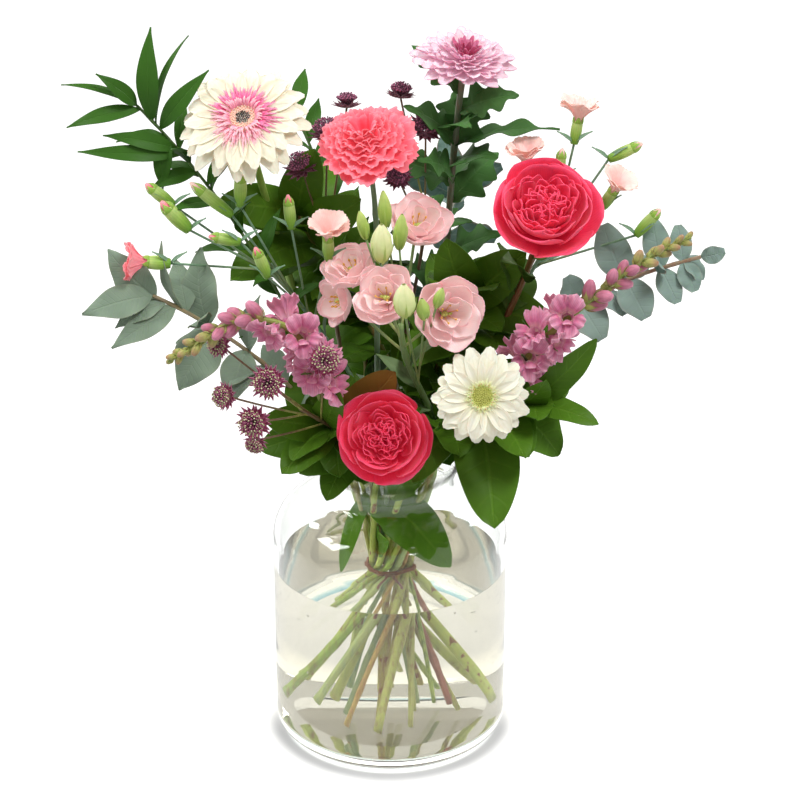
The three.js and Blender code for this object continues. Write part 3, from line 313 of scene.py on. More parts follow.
# ---------------------------------------------------------------- skins
class Growth:
    """Collects the skins of a piece with their marks, then makes one mesh of them.

    Each point carries four marks from 0 to 1: along from root to tip, across from side to side,
    tint, a draw for the whole petal or leaf, and under, which is 1 on the underside. END is the
    radius of a closed tube's end, as a share of the tube's own.
    """

    MARKS = ("along", "across", "tint", "under")
    END = 0.02

    def __init__(self):
        self.points, self.faces, self.marks, self.looks, self.finishes = [], [], [], [], []
        self.count = 0

    def grid(self, points, finish, along, across, tint=0.5, under=0.0, wrap=False):
        """Adds a sheet of quads over points[row, column]; wrap joins the last column to the first."""
        rows, columns = points.shape[:2]
        index = np.arange(rows * columns).reshape(rows, columns) + self.count
        if wrap:
            index = np.hstack((index, index[:, :1]))
        quads = np.stack((index[:-1, :-1], index[:-1, 1:], index[1:, 1:], index[1:, :-1]), axis=-1)
        marks = np.stack(np.broadcast_arrays(along, across, tint, under, points[..., 0])[:4], axis=-1)
        if finish not in self.finishes:
            self.finishes.append(finish)
        self.points.append(points.reshape(-1, 3))
        self.faces.append(quads.reshape(-1, 4))
        self.marks.append(marks.reshape(-1, 4))
        self.looks.append(np.full(len(self.faces[-1]), self.finishes.index(finish)))
        self.count += rows * columns

    def blade(self, points, finish, tint=0.5, thick=0.4):
        """Adds a thin closed petal or leaf about a middle surface points[row, column]."""
        rows, columns = points.shape[:2]
        normal = unit(np.cross(np.gradient(points, axis=0), np.gradient(points, axis=1)))
        along = np.linspace(0, 1, rows)[:, None]
        across = np.linspace(0, 1, columns)[None, :]
        top = points + normal * thick / 2
        low = points - normal * thick / 2
        self.grid(top[:, ::-1], finish, along, across[:, ::-1], tint, 0.0)
        self.grid(low, finish, along, across, tint, 1.0)

        def edge(field):
            """The values round the border of the sheet."""
            return np.vstack((field[:, 0], field[-1, 1:], field[-2::-1, -1], field[0, -2:0:-1]))

        marks = np.broadcast_to(np.stack(np.broadcast_arrays(along, across), axis=-1), (rows, columns, 2))
        rim = edge(marks)[None]
        strip = np.stack((edge(low), edge(top)))
        self.grid(strip, finish, rim[..., 0], rim[..., 1], tint, 0.5, wrap=True)

    def tube(self, line, radii, finish, sides=10, tint=0.5, cap=True):
        """Adds a round piece along a line, with a radius at each point; cap closes its ends."""
        line = np.asarray(line, float)
        radii = np.broadcast_to(np.asarray(radii, float), len(line)).copy()
        along = np.linspace(0, 1, len(line))
        ways = unit(np.gradient(line, axis=0))
        if cap:
            line = np.vstack((line[:1], line, line[-1:]))
            ways = np.vstack((ways[:1], ways, ways[-1:]))
            radii = np.hstack((radii[0] * self.END, radii, radii[-1] * self.END))
            along = np.hstack((0, along, 1))
        slanting = (0.31, 0.87, 0.38)
        side = unit(np.cross(ways[0], slanting))
        angles = np.linspace(0, TURN, sides, endpoint=False)
        rings = []
        for point, way, radius in zip(line, ways, radii):
            side = unit(side - way * np.dot(side, way))
            ring = np.cos(angles)[:, None] * side + np.sin(angles)[:, None] * np.cross(way, side)
            rings.append(point + ring * radius)
        around = (angles / TURN)[None, :]
        self.grid(np.array(rings), finish, along[:, None], around, tint, wrap=True)

    def bead(self, at, way, length, radius, finish, sides=8, tint=0.5, rings=6):
        """Adds an egg of the given length that stands on a point."""
        share = np.linspace(0, 1, rings)
        line = np.asarray(at, float) + np.outer(share * length, unit(way))
        blunt = 0.04
        half_turn = math.pi * (blunt + (1 - 2 * blunt) * share)
        self.tube(line, radius * np.sqrt(np.sin(half_turn)), finish, sides, tint)

    def piece(self, name, nodes):
        """Makes the mesh, rides it on the bouquet and lets it stand for its solids."""
        mesh = bpy.data.meshes.new(name)
        points, faces = np.vstack(self.points) * MM, np.vstack(self.faces)
        mesh.vertices.add(len(points))
        mesh.vertices.foreach_set("co", points.ravel())
        mesh.loops.add(faces.size)
        mesh.loops.foreach_set("vertex_index", faces.ravel().astype(np.int32))
        mesh.polygons.add(len(faces))
        mesh.polygons.foreach_set("loop_start", np.arange(0, faces.size, 4, dtype=np.int32))
        mesh.polygons.foreach_set("material_index", np.hstack(self.looks).astype(np.int32))
        mesh.update(calc_edges=True)
        mesh.shade_smooth()
        marks = np.vstack(self.marks)
        for k, mark in enumerate(self.MARKS):
            field = mesh.attributes.new(mark, "FLOAT", "POINT")
            field.data.foreach_set("value", marks[:, k].astype(np.float32))
        for finish in self.finishes:
            mesh.materials.append(finish)
        made = bpy.data.objects.new(name, mesh)
        bpy.context.scene.collection.objects.link(made)
        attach(made, "root")
        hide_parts(*nodes)


def smooth_line(points, count):
    """A smooth line through points, with count stretches between each two."""
    points = np.asarray(points, float)
    ends = np.vstack((2 * points[0] - points[1], points, 2 * points[-1] - points[-2]))
    line = []
    for a, b, c, d in zip(ends, ends[1:], ends[2:], ends[3:]):
        slope, bend, twist = c - a, 2 * a - 5 * b + 4 * c - d, 3 * b - a - 3 * c + d
        for t in np.arange(count) / count:
            line.append(0.5 * (2 * b + slope * t + bend * t**2 + twist * t**3))
    return np.array(line + [points[-1]])


def petal(growth, place, turn, path, widths, finish, rng, tip=0.15, teeth=(0, 0.0), cup=0.0, wrap=0.0,
          ruffle=(0.0, 2.0), crease=0.0, grid=(10, 6), thick=0.4):
    """A petal that springs from a flower's axis towards the angle turn.

    path holds [reach, height] control points from root to tip and widths the half widths along it.
    tip rounds the end and teeth (how many, how deep) cut it. cup raises the sides, wrap bends them
    round the flower's axis, ruffle (height, waves) waves the edge and crease presses grooves in.
    """
    rows, columns = grid
    u = np.linspace(0, 1, rows + 1)[:, None]
    v = np.linspace(-1, 1, columns + 1)[None, :]
    count, deep = teeth
    reach = 1 - tip * np.abs(v) ** 2.6 - deep * (0.5 - 0.5 * np.cos(math.pi * count * v)) * (count > 0)
    s = u * (1 - u**2 + u**2 * reach)
    line = bezier(path, s)
    slope = unit(bezier(path, np.minimum(1, s + 0.01)) - bezier(path, np.maximum(0, s - 0.01)))
    half = bezier([(w,) for w in widths], u)[..., 0] * np.ones_like(v)
    phase, bend = rng.uniform(0, TURN), rng.normal(0, 0.35)
    high, waves = ruffle
    rise = cup * half * v**2 + crease * np.cos(TURN * v) * np.sin(math.pi * u)
    rise = rise + high * u**1.6 * np.sin(math.pi * waves * v + phase) * (0.35 + 0.65 * np.abs(v))
    rise = rise + bend * high * u**2 * v
    r = line[..., 0] - slope[..., 1] * rise
    z = line[..., 1] + slope[..., 0] * rise
    angle = wrap * half * v / np.maximum(r, half * 0.8 + 0.5)
    flat = (1 - wrap) * half * v
    x = r * np.cos(turn + angle) - flat * math.sin(turn)
    y = r * np.sin(turn + angle) + flat * math.cos(turn)
    growth.blade(put(place, np.stack((x, y, z), axis=-1)), finish, float(rng.uniform(0, 1)), thick)


def petal_ring(growth, place, count, path, widths, finish, rng, **shape):
    """Equal petals or sepals, spread evenly round a flower's axis."""
    for i in range(count):
        petal(growth, place, TURN * i / count, path, widths, finish, rng, **shape)


def pointed(u):
    """The half width along a pointed leaf, broadest below its middle."""
    return np.sin(math.pi * np.clip(u, 0, 1) ** 0.8)


def ovate(u):
    """The half width along a broad leaf, widest near its foot."""
    return 2.2 * np.sqrt(np.clip(u, 0, 1)) * np.clip(1 - u, 0, 1) ** 0.65


def rounded(u):
    """The half width along a round leaf that narrows only at its ends."""
    return np.clip(np.sin(math.pi * 0.94 * np.clip(u, 0, 1) ** 0.85), 0, 1) ** 0.75


def lobed(u):
    """The half width along a leaf with deep lobes."""
    return pointed(u) * (0.72 + 0.28 * np.cos(u * 6 * math.pi)) * 1.15


def leaf(growth, root, tip, width, up, finish, rng, arch=0.1, fold=0.22, wave=0.04, shape=pointed,
         grid=(18, 8)):
    """A leaf from root to tip; up is the way its face looks.

    arch lifts its middle, fold raises its sides from the midrib and wave waves its edge; shape gives
    the half width along it.
    """
    thick, thinnest, waves = 0.45, 0.45, 2.4
    root, tip = np.asarray(root, float), np.asarray(tip, float)
    length = np.linalg.norm(tip - root)
    along = unit(tip - root)
    side = unit(np.cross(along, np.asarray(up, float)))
    normal = np.cross(side, along)
    rows, columns = grid
    u = np.linspace(0, 1, rows + 1)[:, None]
    v = np.linspace(-1, 1, columns + 1)[None, :]
    sag = rng.normal(0, 0.03) * length
    middle = (root + tip) / 2 + normal * 2 * arch * length + side * sag
    rib = bezier((root, middle, tip), u[:, 0])[:, None, :]
    half = np.maximum(thinnest, width / 2 * shape(u))
    phase = rng.uniform(0, TURN)
    curl = 0.12 * v**2 * half
    rise = half * fold * np.abs(v) ** 1.3 - curl * u
    rise = rise + wave * width * np.sin(TURN * waves * u + phase + np.sign(v)) * v**2
    points = rib + side * (half * v)[..., None] + normal * rise[..., None]
    growth.blade(points, finish, float(rng.uniform(0, 1)), thick)


def stalk(growth, a, b, radius, finish, sag=0.0, sides=8, count=8):
    """A thin stalk from a to b, bent a little."""
    a, b = np.asarray(a, float), np.asarray(b, float)
    middle = (a + b) / 2 + UP * sag
    growth.tube(bezier((a, middle, b), np.linspace(0, 1, count)), radius, finish, sides)


def stem(growth, name, finish, knots=0, sides=16):
    """A cut stem from its slanting foot to the back of its head, with swollen knots if it has any."""
    a_stem = bundle()[name]
    order = list(STEMS).index(name)
    foot = FOOT["lowest"] + FOOT["spread"] * (0.5 + 0.5 * draw(order, 1))
    low = [bundle_point(a_stem, z) for z in np.linspace(foot, NECK_HEIGHT, 20)[:-1]]
    line = np.vstack((low, free_curve(a_stem, np.linspace(0, 1, 40))))
    share = np.linspace(0, 1, len(line))
    taper, swelling, knot_length, slant = 0.2, 0.28, 0.06, 1.4 * a_stem["radius"]
    radii = a_stem["radius"] * (1 - taper * share)
    if knots:
        radii = radii * (1 + swelling * np.exp(-(((share * knots) % 1 - 0.5) / knot_length) ** 2))
    line[0] = line[0] + unit(line[1] - line[0]) * 0.2
    growth.tube(line, radii, finish, sides, tint=0.5 + 0.5 * draw(order, 4))
    ring = growth.points[-1][sides:2 * sides]
    growth.points[-1][sides:2 * sides] = ring + np.outer(np.linspace(-1, 1, sides) ** 2 - 0.5, UP) * slant


def stem_leaves(growth, name, table, finish, rng, **shape):
    """Plain leaves round a stem: share of the free part, length and width each."""
    a_stem = bundle()[name]
    for i, (t, length, width) in enumerate(table):
        root, along = stem_at(a_stem, t)
        out = sideways(along, (0.2, 1, 0.3), i * GOLDEN + a_stem["head"][0])
        tip = root + unit(out + 0.8 * along) * length
        leaf(growth, root, tip, width, along, finish, rng, arch=0.12, **shape)


def leaves_of(growth, name, table, finish, rng, **shape):
    """The leaves of a leafy stem: root, tip, width and the way the face looks."""
    a_stem = bundle()[name]
    for root, tip, width, up in table:
        leaf(growth, on_stem(a_stem, root), tip, width, up, finish, rng, **shape)


# ---------------------------------------------------------------- finishes
def paint(color):
    """A colour in the values that a shader takes, from a code as on screen or from a setting."""
    if not isinstance(color, int):
        return tuple(color)
    parts = [(color >> shift & 255) / 255 for shift in (16, 8, 0)]
    return tuple(p / 12.92 if p <= 0.04045 else ((p + 0.055) / 1.055) ** 2.4 for p in parts)


class Wire:
    """A number that runs through a material; arithmetic on it adds Math nodes."""

    def __init__(self, finish, socket):
        self.finish, self.socket = finish, socket

    def math(self, operation, *values):
        """A Math node of this wire and the values after it."""
        return self.finish.add("ShaderNodeMath", {"operation": operation}, dict(enumerate((self, *values))))

    def __add__(self, other):
        return self.math("ADD", other)

    def __mul__(self, other):
        return self.math("MULTIPLY", other)

    def __sub__(self, other):
        return self.math("SUBTRACT", other)

    def __rsub__(self, other):
        return self * -1 + other

    def __pow__(self, other):
        return self.math("POWER", other)

    def __abs__(self):
        return self.math("ABSOLUTE")

    __radd__, __rmul__ = __add__, __mul__

    def sin(self):
        """The sine of it."""
        return self.math("SINE")

    def ease(self, low, high):
        """Rises smoothly from 0 at low to 1 at high."""
        settings = {"interpolation_type": "SMOOTHSTEP"}
        return self.finish.add("ShaderNodeMapRange", settings, {"Value": self, 1: low, 2: high})


class Finish:
    """A material in the making: add gives any node, and surface closes it."""

    def __init__(self, name, world=None):
        self.material = world or bpy.data.materials.new(name)
        self.material.use_nodes = True
        self.tree = self.material.node_tree
        self.tree.nodes.clear()

    def add(self, kind, settings=None, inputs=None, output=0):
        """A node of a kind, its settings set first, then its sockets' values or links."""
        node = self.tree.nodes.new(kind)
        for key, value in (settings or {}).items():
            if key == "stops":
                self.set_stops(node.color_ramp, value)
            else:
                setattr(node, key, value)
        for key, value in (inputs or {}).items():
            if isinstance(value, Wire):
                self.tree.links.new(value.socket, node.inputs[key])
            elif isinstance(value, tuple) and len(value) == 3 and node.inputs[key].type == "RGBA":
                node.inputs[key].default_value = (*value, 1)
            else:
                node.inputs[key].default_value = value
        return Wire(self, node.outputs[output]) if node.outputs else node

    @staticmethod
    def set_stops(ramp, stops):
        """Sets the stops of a colour ramp: place and colour each."""
        while len(ramp.elements) < len(stops):
            ramp.elements.new(1)
        for element, (place, color) in zip(ramp.elements, stops):
            element.position, element.color = place, (*color, 1)

    def mark(self, name):
        """One of the marks that each point carries."""
        return self.add("ShaderNodeAttribute", {"attribute_name": name}, output=2)

    def marks(self, *names):
        """Several of them."""
        return [self.mark(name) for name in names]

    def ramp(self, share, stops):
        """A colour that runs through stops."""
        return self.add("ShaderNodeValToRGB", {"stops": stops}, {0: share})

    def mix(self, share, a, b):
        """One colour over another; share is how much of the second shows."""
        return self.add("ShaderNodeMix", {"data_type": "RGBA"}, {0: share, 6: a, 7: b}, output=2)

    def paints(self, share, dark, light):
        """Two paints mixed."""
        return self.mix(share, paint(dark), paint(light))

    def place(self, operation=None, by=None):
        """The place in the piece, in metres, moved or stretched if asked."""
        place = self.add("ShaderNodeTexCoord", output=3)
        if operation:
            place = self.add("ShaderNodeVectorMath", {"operation": operation}, {0: place, 1: by})
        return place

    def length(self, vector):
        """The length of a vector."""
        return self.add("ShaderNodeVectorMath", {"operation": "LENGTH"}, {0: vector}, output=1)

    def noise(self, scale, detail=2.0, stretch=None):
        """A soft noise over the place in the piece, from 0 to 1."""
        place = self.place("MULTIPLY" if stretch else None, stretch)
        return self.add("ShaderNodeTexNoise", None, {"Vector": place, "Scale": scale, "Detail": detail})

    def either(self, share, first, second):
        """One shader or the other; share is how much of the second there is."""
        return self.add("ShaderNodeMixShader", None, {0: share, 1: first, 2: second})

    def bump(self, height, strength, distance=0.0004):
        """The normal of a surface raised by height."""
        values = {"Height": height, "Strength": strength, "Distance": distance}
        return self.add("ShaderNodeBump", None, values)

    def surface(self, **values):
        """The Principled surface of the finish; an underscore in a name stands for a space."""
        inputs = {key.replace("_", " "): value for key, value in values.items()}
        shader = self.add("ShaderNodeBsdfPrincipled", None, inputs)
        return self.close(shader)

    def close(self, shader):
        """Joins a shader to the output and gives the material."""
        world = isinstance(self.material, bpy.types.World)
        kind = "ShaderNodeOutputWorld" if world else "ShaderNodeOutputMaterial"
        self.add(kind, None, {"Surface": shader})
        return self.material


def petal_finish(name, root, middle, tip, deep, under, veins=0.3, ribs=14, rim=0.0, rim_color=0,
                 rough=0.55):
    """A petal: its colour runs from root to tip, with veins, a paler underside and a soft sheen, and it
    glows faintly in its own colour as painted light.

    deep is the colour of the veins; rim is how much of rim_color lies along the edge.
    """
    root, middle, tip, deep, under = (paint(color) for color in (root, middle, tip, deep, under))
    f = Finish(name)
    along, across, tint = f.marks("along", "across", "tint")
    side = abs(across * 2 - 1)
    color = f.ramp(along, ((0.0, root), (0.42, middle), (1.0, tip)))
    cloud = f.noise(240.0)
    color = f.mix((tint * 0.22 + cloud.ease(0.4, 0.7) * 0.25) * veins * 2, color, deep)
    vein = ((across + cloud * 0.02) * (ribs * math.pi)).sin() ** 8 * (1 - along * 0.7)
    color = f.mix(vein * veins, color, deep)
    if rim:
        edge = (along ** 9 + side ** 9 * along.ease(0.1, 0.6)).ease(0.25, 1.0)
        color = f.mix(edge * rim, color, paint(rim_color))
    color = f.mix(f.mark("under") * 0.75, color, under)
    fine = f.noise(1500.0, 1.0)
    relief = f.bump(vein * 0.6 + fine * 0.25, 0.35, 0.0003)
    return f.surface(
        Base_Color=color, Roughness=fine * 0.12 + (rough - 0.06), Normal=relief, Specular_IOR_Level=0.25,
        Sheen_Weight=0.15, Sheen_Roughness=0.5, Subsurface_Weight=0.3, Subsurface_Scale=0.002,
        # The faint emission in the petal's own colour is painted light, standing in for light shining
        # through the petal.
        Subsurface_Radius=(1.0, 0.45, 0.35), Emission_Color=color, Emission_Strength=0.1,
    )


def leaf_finish(name, dark, light, rib, under, rough=0.38, veins=9, vein_mix=0.5, edge=None):
    """A leaf: a pale midrib, side veins that run forward from it, blotches and a paler underside."""
    f = Finish(name)
    along, across, tint = f.marks("along", "across", "tint")
    side = abs(across * 2 - 1)
    cloud = f.noise(120.0, 3.0)
    color = f.paints(cloud.ease(0.3, 0.75) * 0.45 + tint * tint * 0.65, dark, light)
    reach = (along - side * 0.14 + cloud * 0.015) * (TURN * veins)
    vein = (reach.sin() * 0.5 + 0.5) ** 14 * (1 - side * 0.6)
    midrib = 1 - side.ease(0.02, 0.09)
    color = f.mix(vein * (0.45 * vein_mix) + midrib * vein_mix, color, paint(rib))
    if edge:
        color = f.mix(side.ease(0.8, 1.0) * 0.5, color, paint(edge))
    color = f.mix(f.mark("under") * 0.8, color, paint(under))
    fine = f.noise(900.0, 2.0)
    relief = f.bump(vein * -0.8 - midrib * 1.2 + fine * 0.2, 0.5, 0.0004)
    return f.surface(
        Base_Color=color, Roughness=cloud * 0.16 + fine * 0.1 + (rough - 0.13), Normal=relief,
        Specular_IOR_Level=0.1, Subsurface_Weight=0.08, Subsurface_Scale=0.001,
        Subsurface_Radius=(0.5, 1.0, 0.2),
    )


def stem_finish(name, low, high, streak, rough=0.45, spots=0.9):
    """A stem: its colour changes with height, with long streaks and, under water, spots."""
    f = Finish(name)
    along, across, tint = f.marks("along", "across", "tint")
    color = f.paints(along.ease(0.15, 0.6), low, high)
    grain = f.noise(420.0, 3.0, (1.0, 1.0, 0.12))
    stripes, brown = 7, paint(0x82431E)
    groove = (across * (TURN * stripes)).sin()
    color = f.mix(grain.ease(0.42, 0.7) * 0.55 + tint * 0.2, color, paint(streak))
    if spots:
        dots = f.noise(230.0, 3.0, (1.0, 1.0, 0.4))
        color = f.mix(dots.ease(0.57, 0.64) * spots * (1 - along.ease(0.3, 0.5)), color, brown)
    relief = f.bump(groove * 0.4 + grain * 0.8, 0.4, 0.0004)
    return f.surface(
        Base_Color=color, Roughness=grain * 0.2 + (rough - 0.1), Normal=relief, Specular_IOR_Level=0.4,
        Subsurface_Weight=0.1, Subsurface_Scale=0.001, Subsurface_Radius=(0.6, 1.0, 0.3),
    )


def grain_finish(name, dark, light, rough=0.6):
    """Small florets, anthers and seeds: two colours from grain to grain, rough."""
    f = Finish(name)
    grain = f.noise(900.0, 2.0)
    along, tint = f.marks("along", "tint")
    color = f.paints((grain.ease(0.35, 0.65) * 0.5 + along * 0.35 + tint * 0.3).ease(0.1, 1.0), dark, light)
    relief = f.bump(grain, 0.4, 0.0003)
    return f.surface(
        Base_Color=color, Roughness=grain * 0.2 + (rough - 0.1), Normal=relief, Specular_IOR_Level=0.3,
        Sheen_Weight=0.2, Sheen_Roughness=0.5,
    )


# ---------------------------------------------------------------- the bottle, its water and the tie
def arc(cx, cz, rx, rz, start, end, count):
    """Points of an arc in a lathe's profile: radius and height each."""
    angles = np.radians(np.linspace(start, end, count))
    return [(cx + rx * math.cos(a), cz + rz * math.sin(a)) for a in angles]


def glass_profile():
    """The bottle's outline from the middle of its underside, over the rim, to the middle of its floor.

    The underside is pushed up a little in its middle and flat where the bottle stands.
    """
    body, neck, z0, z1 = BOTTLE_RADIUS, NECK_RADIUS, SHOULDER["from"], SHOULDER["to"]
    heel = arc(body - FOOT_ROUND, FOOT_ROUND, FOOT_ROUND, FOOT_ROUND, -90, 0, 10)
    walls = [(body, z) for z in np.linspace(FOOT_ROUND + 6, z0 - 6, 12)]
    shoulder = arc(neck, z0, body - neck, z1 - z0, 0, 74, 24)
    flare = bezier((shoulder[-1], (neck - 2, z1 + 1.8), (neck - 0.5, z1 + 10), (neck + 3, z1 + 20),
                    (RIM_RADIUS - 1.5, BOTTLE_HEIGHT - 1.7)), np.linspace(0, 1, 22))[1:]
    outside = np.vstack((heel, walls, shoulder, flare))
    way = unit(np.gradient(outside, axis=0))
    thick = np.interp(outside[:, 1], (0, z0, BOTTLE_HEIGHT), (WALL, WALL, 0.8 * WALL))[:, None]
    inner = outside + np.stack((-way[:, 1], way[:, 0]), axis=1) * thick
    middle, half = (outside[-1] + inner[-1]) / 2, thick[-1, 0] / 2
    tilt = math.degrees(math.atan2(*(outside[-1] - middle)[::-1]))
    lip = arc(*middle, half, half, tilt, tilt + 180, 12)[1:-1]
    corner = arc(body - WALL - FLOOR_ROUND, FLOOR + FLOOR_ROUND, FLOOR_ROUND, FLOOR_ROUND, 0, -90, 8)
    floor = [(r, FLOOR + 0.6 * math.cos(r / 40)) for r in np.linspace(body - WALL - 9, AXIS, 12)]
    dome = [(r, PUSHED_UP * (1 - (r / STAND_RADIUS) ** 2)) for r in (AXIS, 20, 36, 48, 55, STAND_RADIUS)]
    inner = inner[::-1][inner[::-1, 1] > FLOOR + FLOOR_ROUND + 1]
    return np.vstack((dome, [(68, 0), (74, 0)], outside, lip, inner, corner, floor))


def turn_profile(growth, profile, finish, sides=128, waves=0.0):
    """Turns a profile about the upright axis; waves makes the wall as uneven as blown glass."""
    angles = np.linspace(0, TURN, sides, endpoint=False)
    r, z = np.array(profile).T[:, :, None] * np.ones(sides)
    r = r * (1 + waves * (np.sin(2 * angles + z / 60) + 0.6 * np.sin(3 * angles - z / 35)))
    points = np.stack((r * np.cos(angles), r * np.sin(angles), z), axis=-1)
    along = (z - z.min()) / (z.max() - z.min())
    growth.grid(points, finish, along, (angles / TURN)[None, :], wrap=True)


def water_profile():
    """The water's outline: a flat surface with a tight edge against the glass."""
    wall = BOTTLE_RADIUS - WALL + 0.15
    low = [(AXIS, FLOOR + 0.3), (wall - 8, FLOOR + 0.1)]
    corner = arc(wall - FLOOR_ROUND, FLOOR + FLOOR_ROUND, FLOOR_ROUND, FLOOR_ROUND, -80, 0, 7)
    side = [(wall, z) for z in (*np.linspace(FLOOR + 12, WATER_LEVEL - 4, 8), WATER_LEVEL - 0.4)]
    edge = [(wall, WATER_LEVEL - 0.1)]
    top = [(r, WATER_LEVEL) for r in (wall - 0.1, wall - 0.25, wall - 4, wall - 20, 30, AXIS)]
    return low + corner + side + edge + top


def clear_finish(name, color, ior, foot=None, waves=0.0, shade=0.96, lip=0.0):
    """Glass or water: it bends light, and lets most of the lamps' light through to what is inside.

    foot tints the ring round the bottle's foot, and waves bends the surface a little. shade is the
    light let through, and lip how much more the bottle's thin upper edge lets straight through.
    """
    f = Finish(name)
    values = {"Base Color": paint(color), "Roughness": 0.0, "IOR": ior, "Transmission Weight": 1.0}
    if foot:
        tinted_from, tinted_to, low_share = 0.076, 0.078, 0.016
        out = f.length(f.place("MULTIPLY", (1, 1, 0)))
        ring = (1 - f.mark("along").ease(0.0, low_share)) * out.ease(tinted_from, tinted_to)
        values["Base Color"] = f.mix(ring, paint(color), paint(foot))
    if waves:
        values["Normal"] = f.bump(f.noise(14.0, 1.0), waves, 0.002)
    body = f.add("ShaderNodeBsdfPrincipled", None, values)
    clear = f.add("ShaderNodeBsdfTransparent", None, {"Color": (shade, shade, shade)})
    straight = f.add("ShaderNodeLightPath", output=1)
    if lip:
        straight = straight + f.mark("along").ease(0.93, 0.98) * lip
    return f.close(f.either(straight, body, clear))


def twine(growth, finish):
    """Twine drawn tight round the bundle, its strands laid round each other, with a knot and two ends."""
    turns, strands, lays, lay_radius, strand, knot, radius, clear = 3, 2, 22, 0.75, 0.95, 1.1, 1.2, 1.6
    low, high = size_of("tie")
    share = np.linspace(0, 1, 150 * turns)
    angle = TURN * turns * share
    height = low[2] + radius + (high[2] - low[2] - 2 * radius) * share
    out = np.stack((np.cos(angle), np.sin(angle)), axis=-1)
    slots = np.array([stem["slot"] for stem in bundle().values()])
    radii = np.array([stem["radius"] for stem in STEMS.values()])
    outermost = np.argmax(out @ slots.T + radii, axis=1)
    around = slots[outermost] + out * (radii[outermost] + clear)[:, None]
    centre = np.column_stack((around, height))
    out = np.column_stack((out, 0 * angle))
    for k in range(strands):
        lay = angle * lays + TURN * k / strands
        line = centre + lay_radius * (out * np.cos(lay)[:, None] + UP * np.sin(lay)[:, None])
        growth.tube(line, strand, finish, 6, tint=0.3 + 0.4 * k)
    front = np.array((0.0, around[:, 1].min() - 0.8, (low[2] + high[2]) / 2))
    for side in (-1, 1):
        loop = np.array([(0, 0, -3), (3, -1.5, -1), (2, -2, 3), (-2, -1.5, 1.5), (-3, -1.2, -5),
                         (-7, -3, -13), (-9, -2.5, -19)])
        growth.tube(smooth_line(front + loop * (side, 1, 1), 8), knot, finish, 8)


def twine_finish(name, dark, light):
    """Brown twine: fine fibres along the strands."""
    f = Finish(name)
    fibre = f.noise(1400.0, 3.0)
    color = f.paints(fibre.ease(0.35, 0.65), dark, light)
    ply = (f.mark("along") * 900 + f.mark("across") * TURN).sin()
    return f.surface(
        Base_Color=color, Roughness=fibre * 0.2 + 0.7, Normal=f.bump(ply * 0.5 + fibre, 0.6, 0.0004),
        Sheen_Weight=0.3, Sheen_Roughness=0.6, Specular_IOR_Level=0.2,
    )


# ---------------------------------------------------------------- settings
def color_property(name, description, code):
    """A colour that a user can change."""
    return FloatVectorProperty(name=name, description=description, default=paint(code), size=3,
                               subtype="COLOR", min=0, max=1)


def number_property(name, description, default, **kind):
    """A number that a user can change."""
    return FloatProperty(name=name, description=description, default=default, min=0, **kind)


class BouquetStage(bpy.types.PropertyGroup):
    """The floor, the camera and the lights."""

    floor_width: number_property("Floor", "Width of the white floor", 14, unit="LENGTH")
    camera_lens: number_property("Lens", "Focal length", 122.4, unit="CAMERA")
    camera_pitch: number_property("Pitch", "How far the camera looks up from straight down",
                                  math.radians(64.65), subtype="ANGLE")
    left_power: number_property("Left light", "Power of the large light high at the left", 22, unit="POWER")
    front_power: number_property("Front light", "Power of the light high in front", 25, unit="POWER")
    back_power: number_property("Back lights", "Power of each light behind", 6, unit="POWER")
    sky: number_property("Sky", "Strength of the even light from all round", 0.42)


class BouquetBottle(bpy.types.PropertyGroup):
    """The bottle, its water and the tie."""

    glass: color_property("Glass", "Tint of the clear glass", 0xFBFDFC)
    water: color_property("Water", "Tint of the water", 0xDCD6CA)
    twine: color_property("Twine", "Colour of the tie", 0xA0542A)
    sides: IntProperty(name="Sides", description="Sides of the turned glass", default=128, min=32)


class BouquetFlowers(bpy.types.PropertyGroup):
    """The colours of the flowers."""

    cream: color_property("Cream gerbera", "Its ray petals", 0xE2DAC6)
    pink_ring: color_property("Pink ring", "The short florets of the cream gerbera", 0xF26C9E)
    white: color_property("White gerbera", "Its ray petals", 0xF0E9D8)
    coral: color_property("Carnation", "Its petals", 0xFF6C80)
    chrysanthemum: color_property("Chrysanthemum", "The pale faces of its petals", 0xEED2DD)
    rose: color_property("Roses", "Their petals", 0xEE305C)
    lisianthus: color_property("Lisianthus", "Its petals", 0xF9DEDC)
    snapdragon: color_property("Snapdragons", "Their open florets", 0xC96C92)
    astrantia: color_property("Astrantia", "Its bracts", 0x8E3A5C)
    salmon: color_property("Spray pinks", "The flowers of the right spray", 0xF9CBC6)


class BouquetFoliage(bpy.types.PropertyGroup):
    """The greens."""

    broad: color_property("Broad leaves", "The glossy broad leaves", 0x3C6E06)
    narrow: color_property("Narrow leaves", "The trailing narrow leaves", 0x2C560C)
    grey: color_property("Grey leaves", "The eucalyptus leaves", 0x7E9C90)


# ---------------------------------------------------------------- the stage
def area_light(name, place, size, power):
    """A soft white light that looks at the bouquet; lengths in metres."""
    aim = (0, 0, 0.18)
    data = bpy.data.lights.new(name, "AREA")
    data.shape, data.energy = "RECTANGLE", power
    data.size, data.size_y = size
    lamp = bpy.data.objects.new(name, data)
    bpy.context.scene.collection.objects.link(lamp)
    lamp.location = place
    lamp.rotation_euler = Vector(np.subtract(place, aim)).to_track_quat("Z", "Y").to_euler()


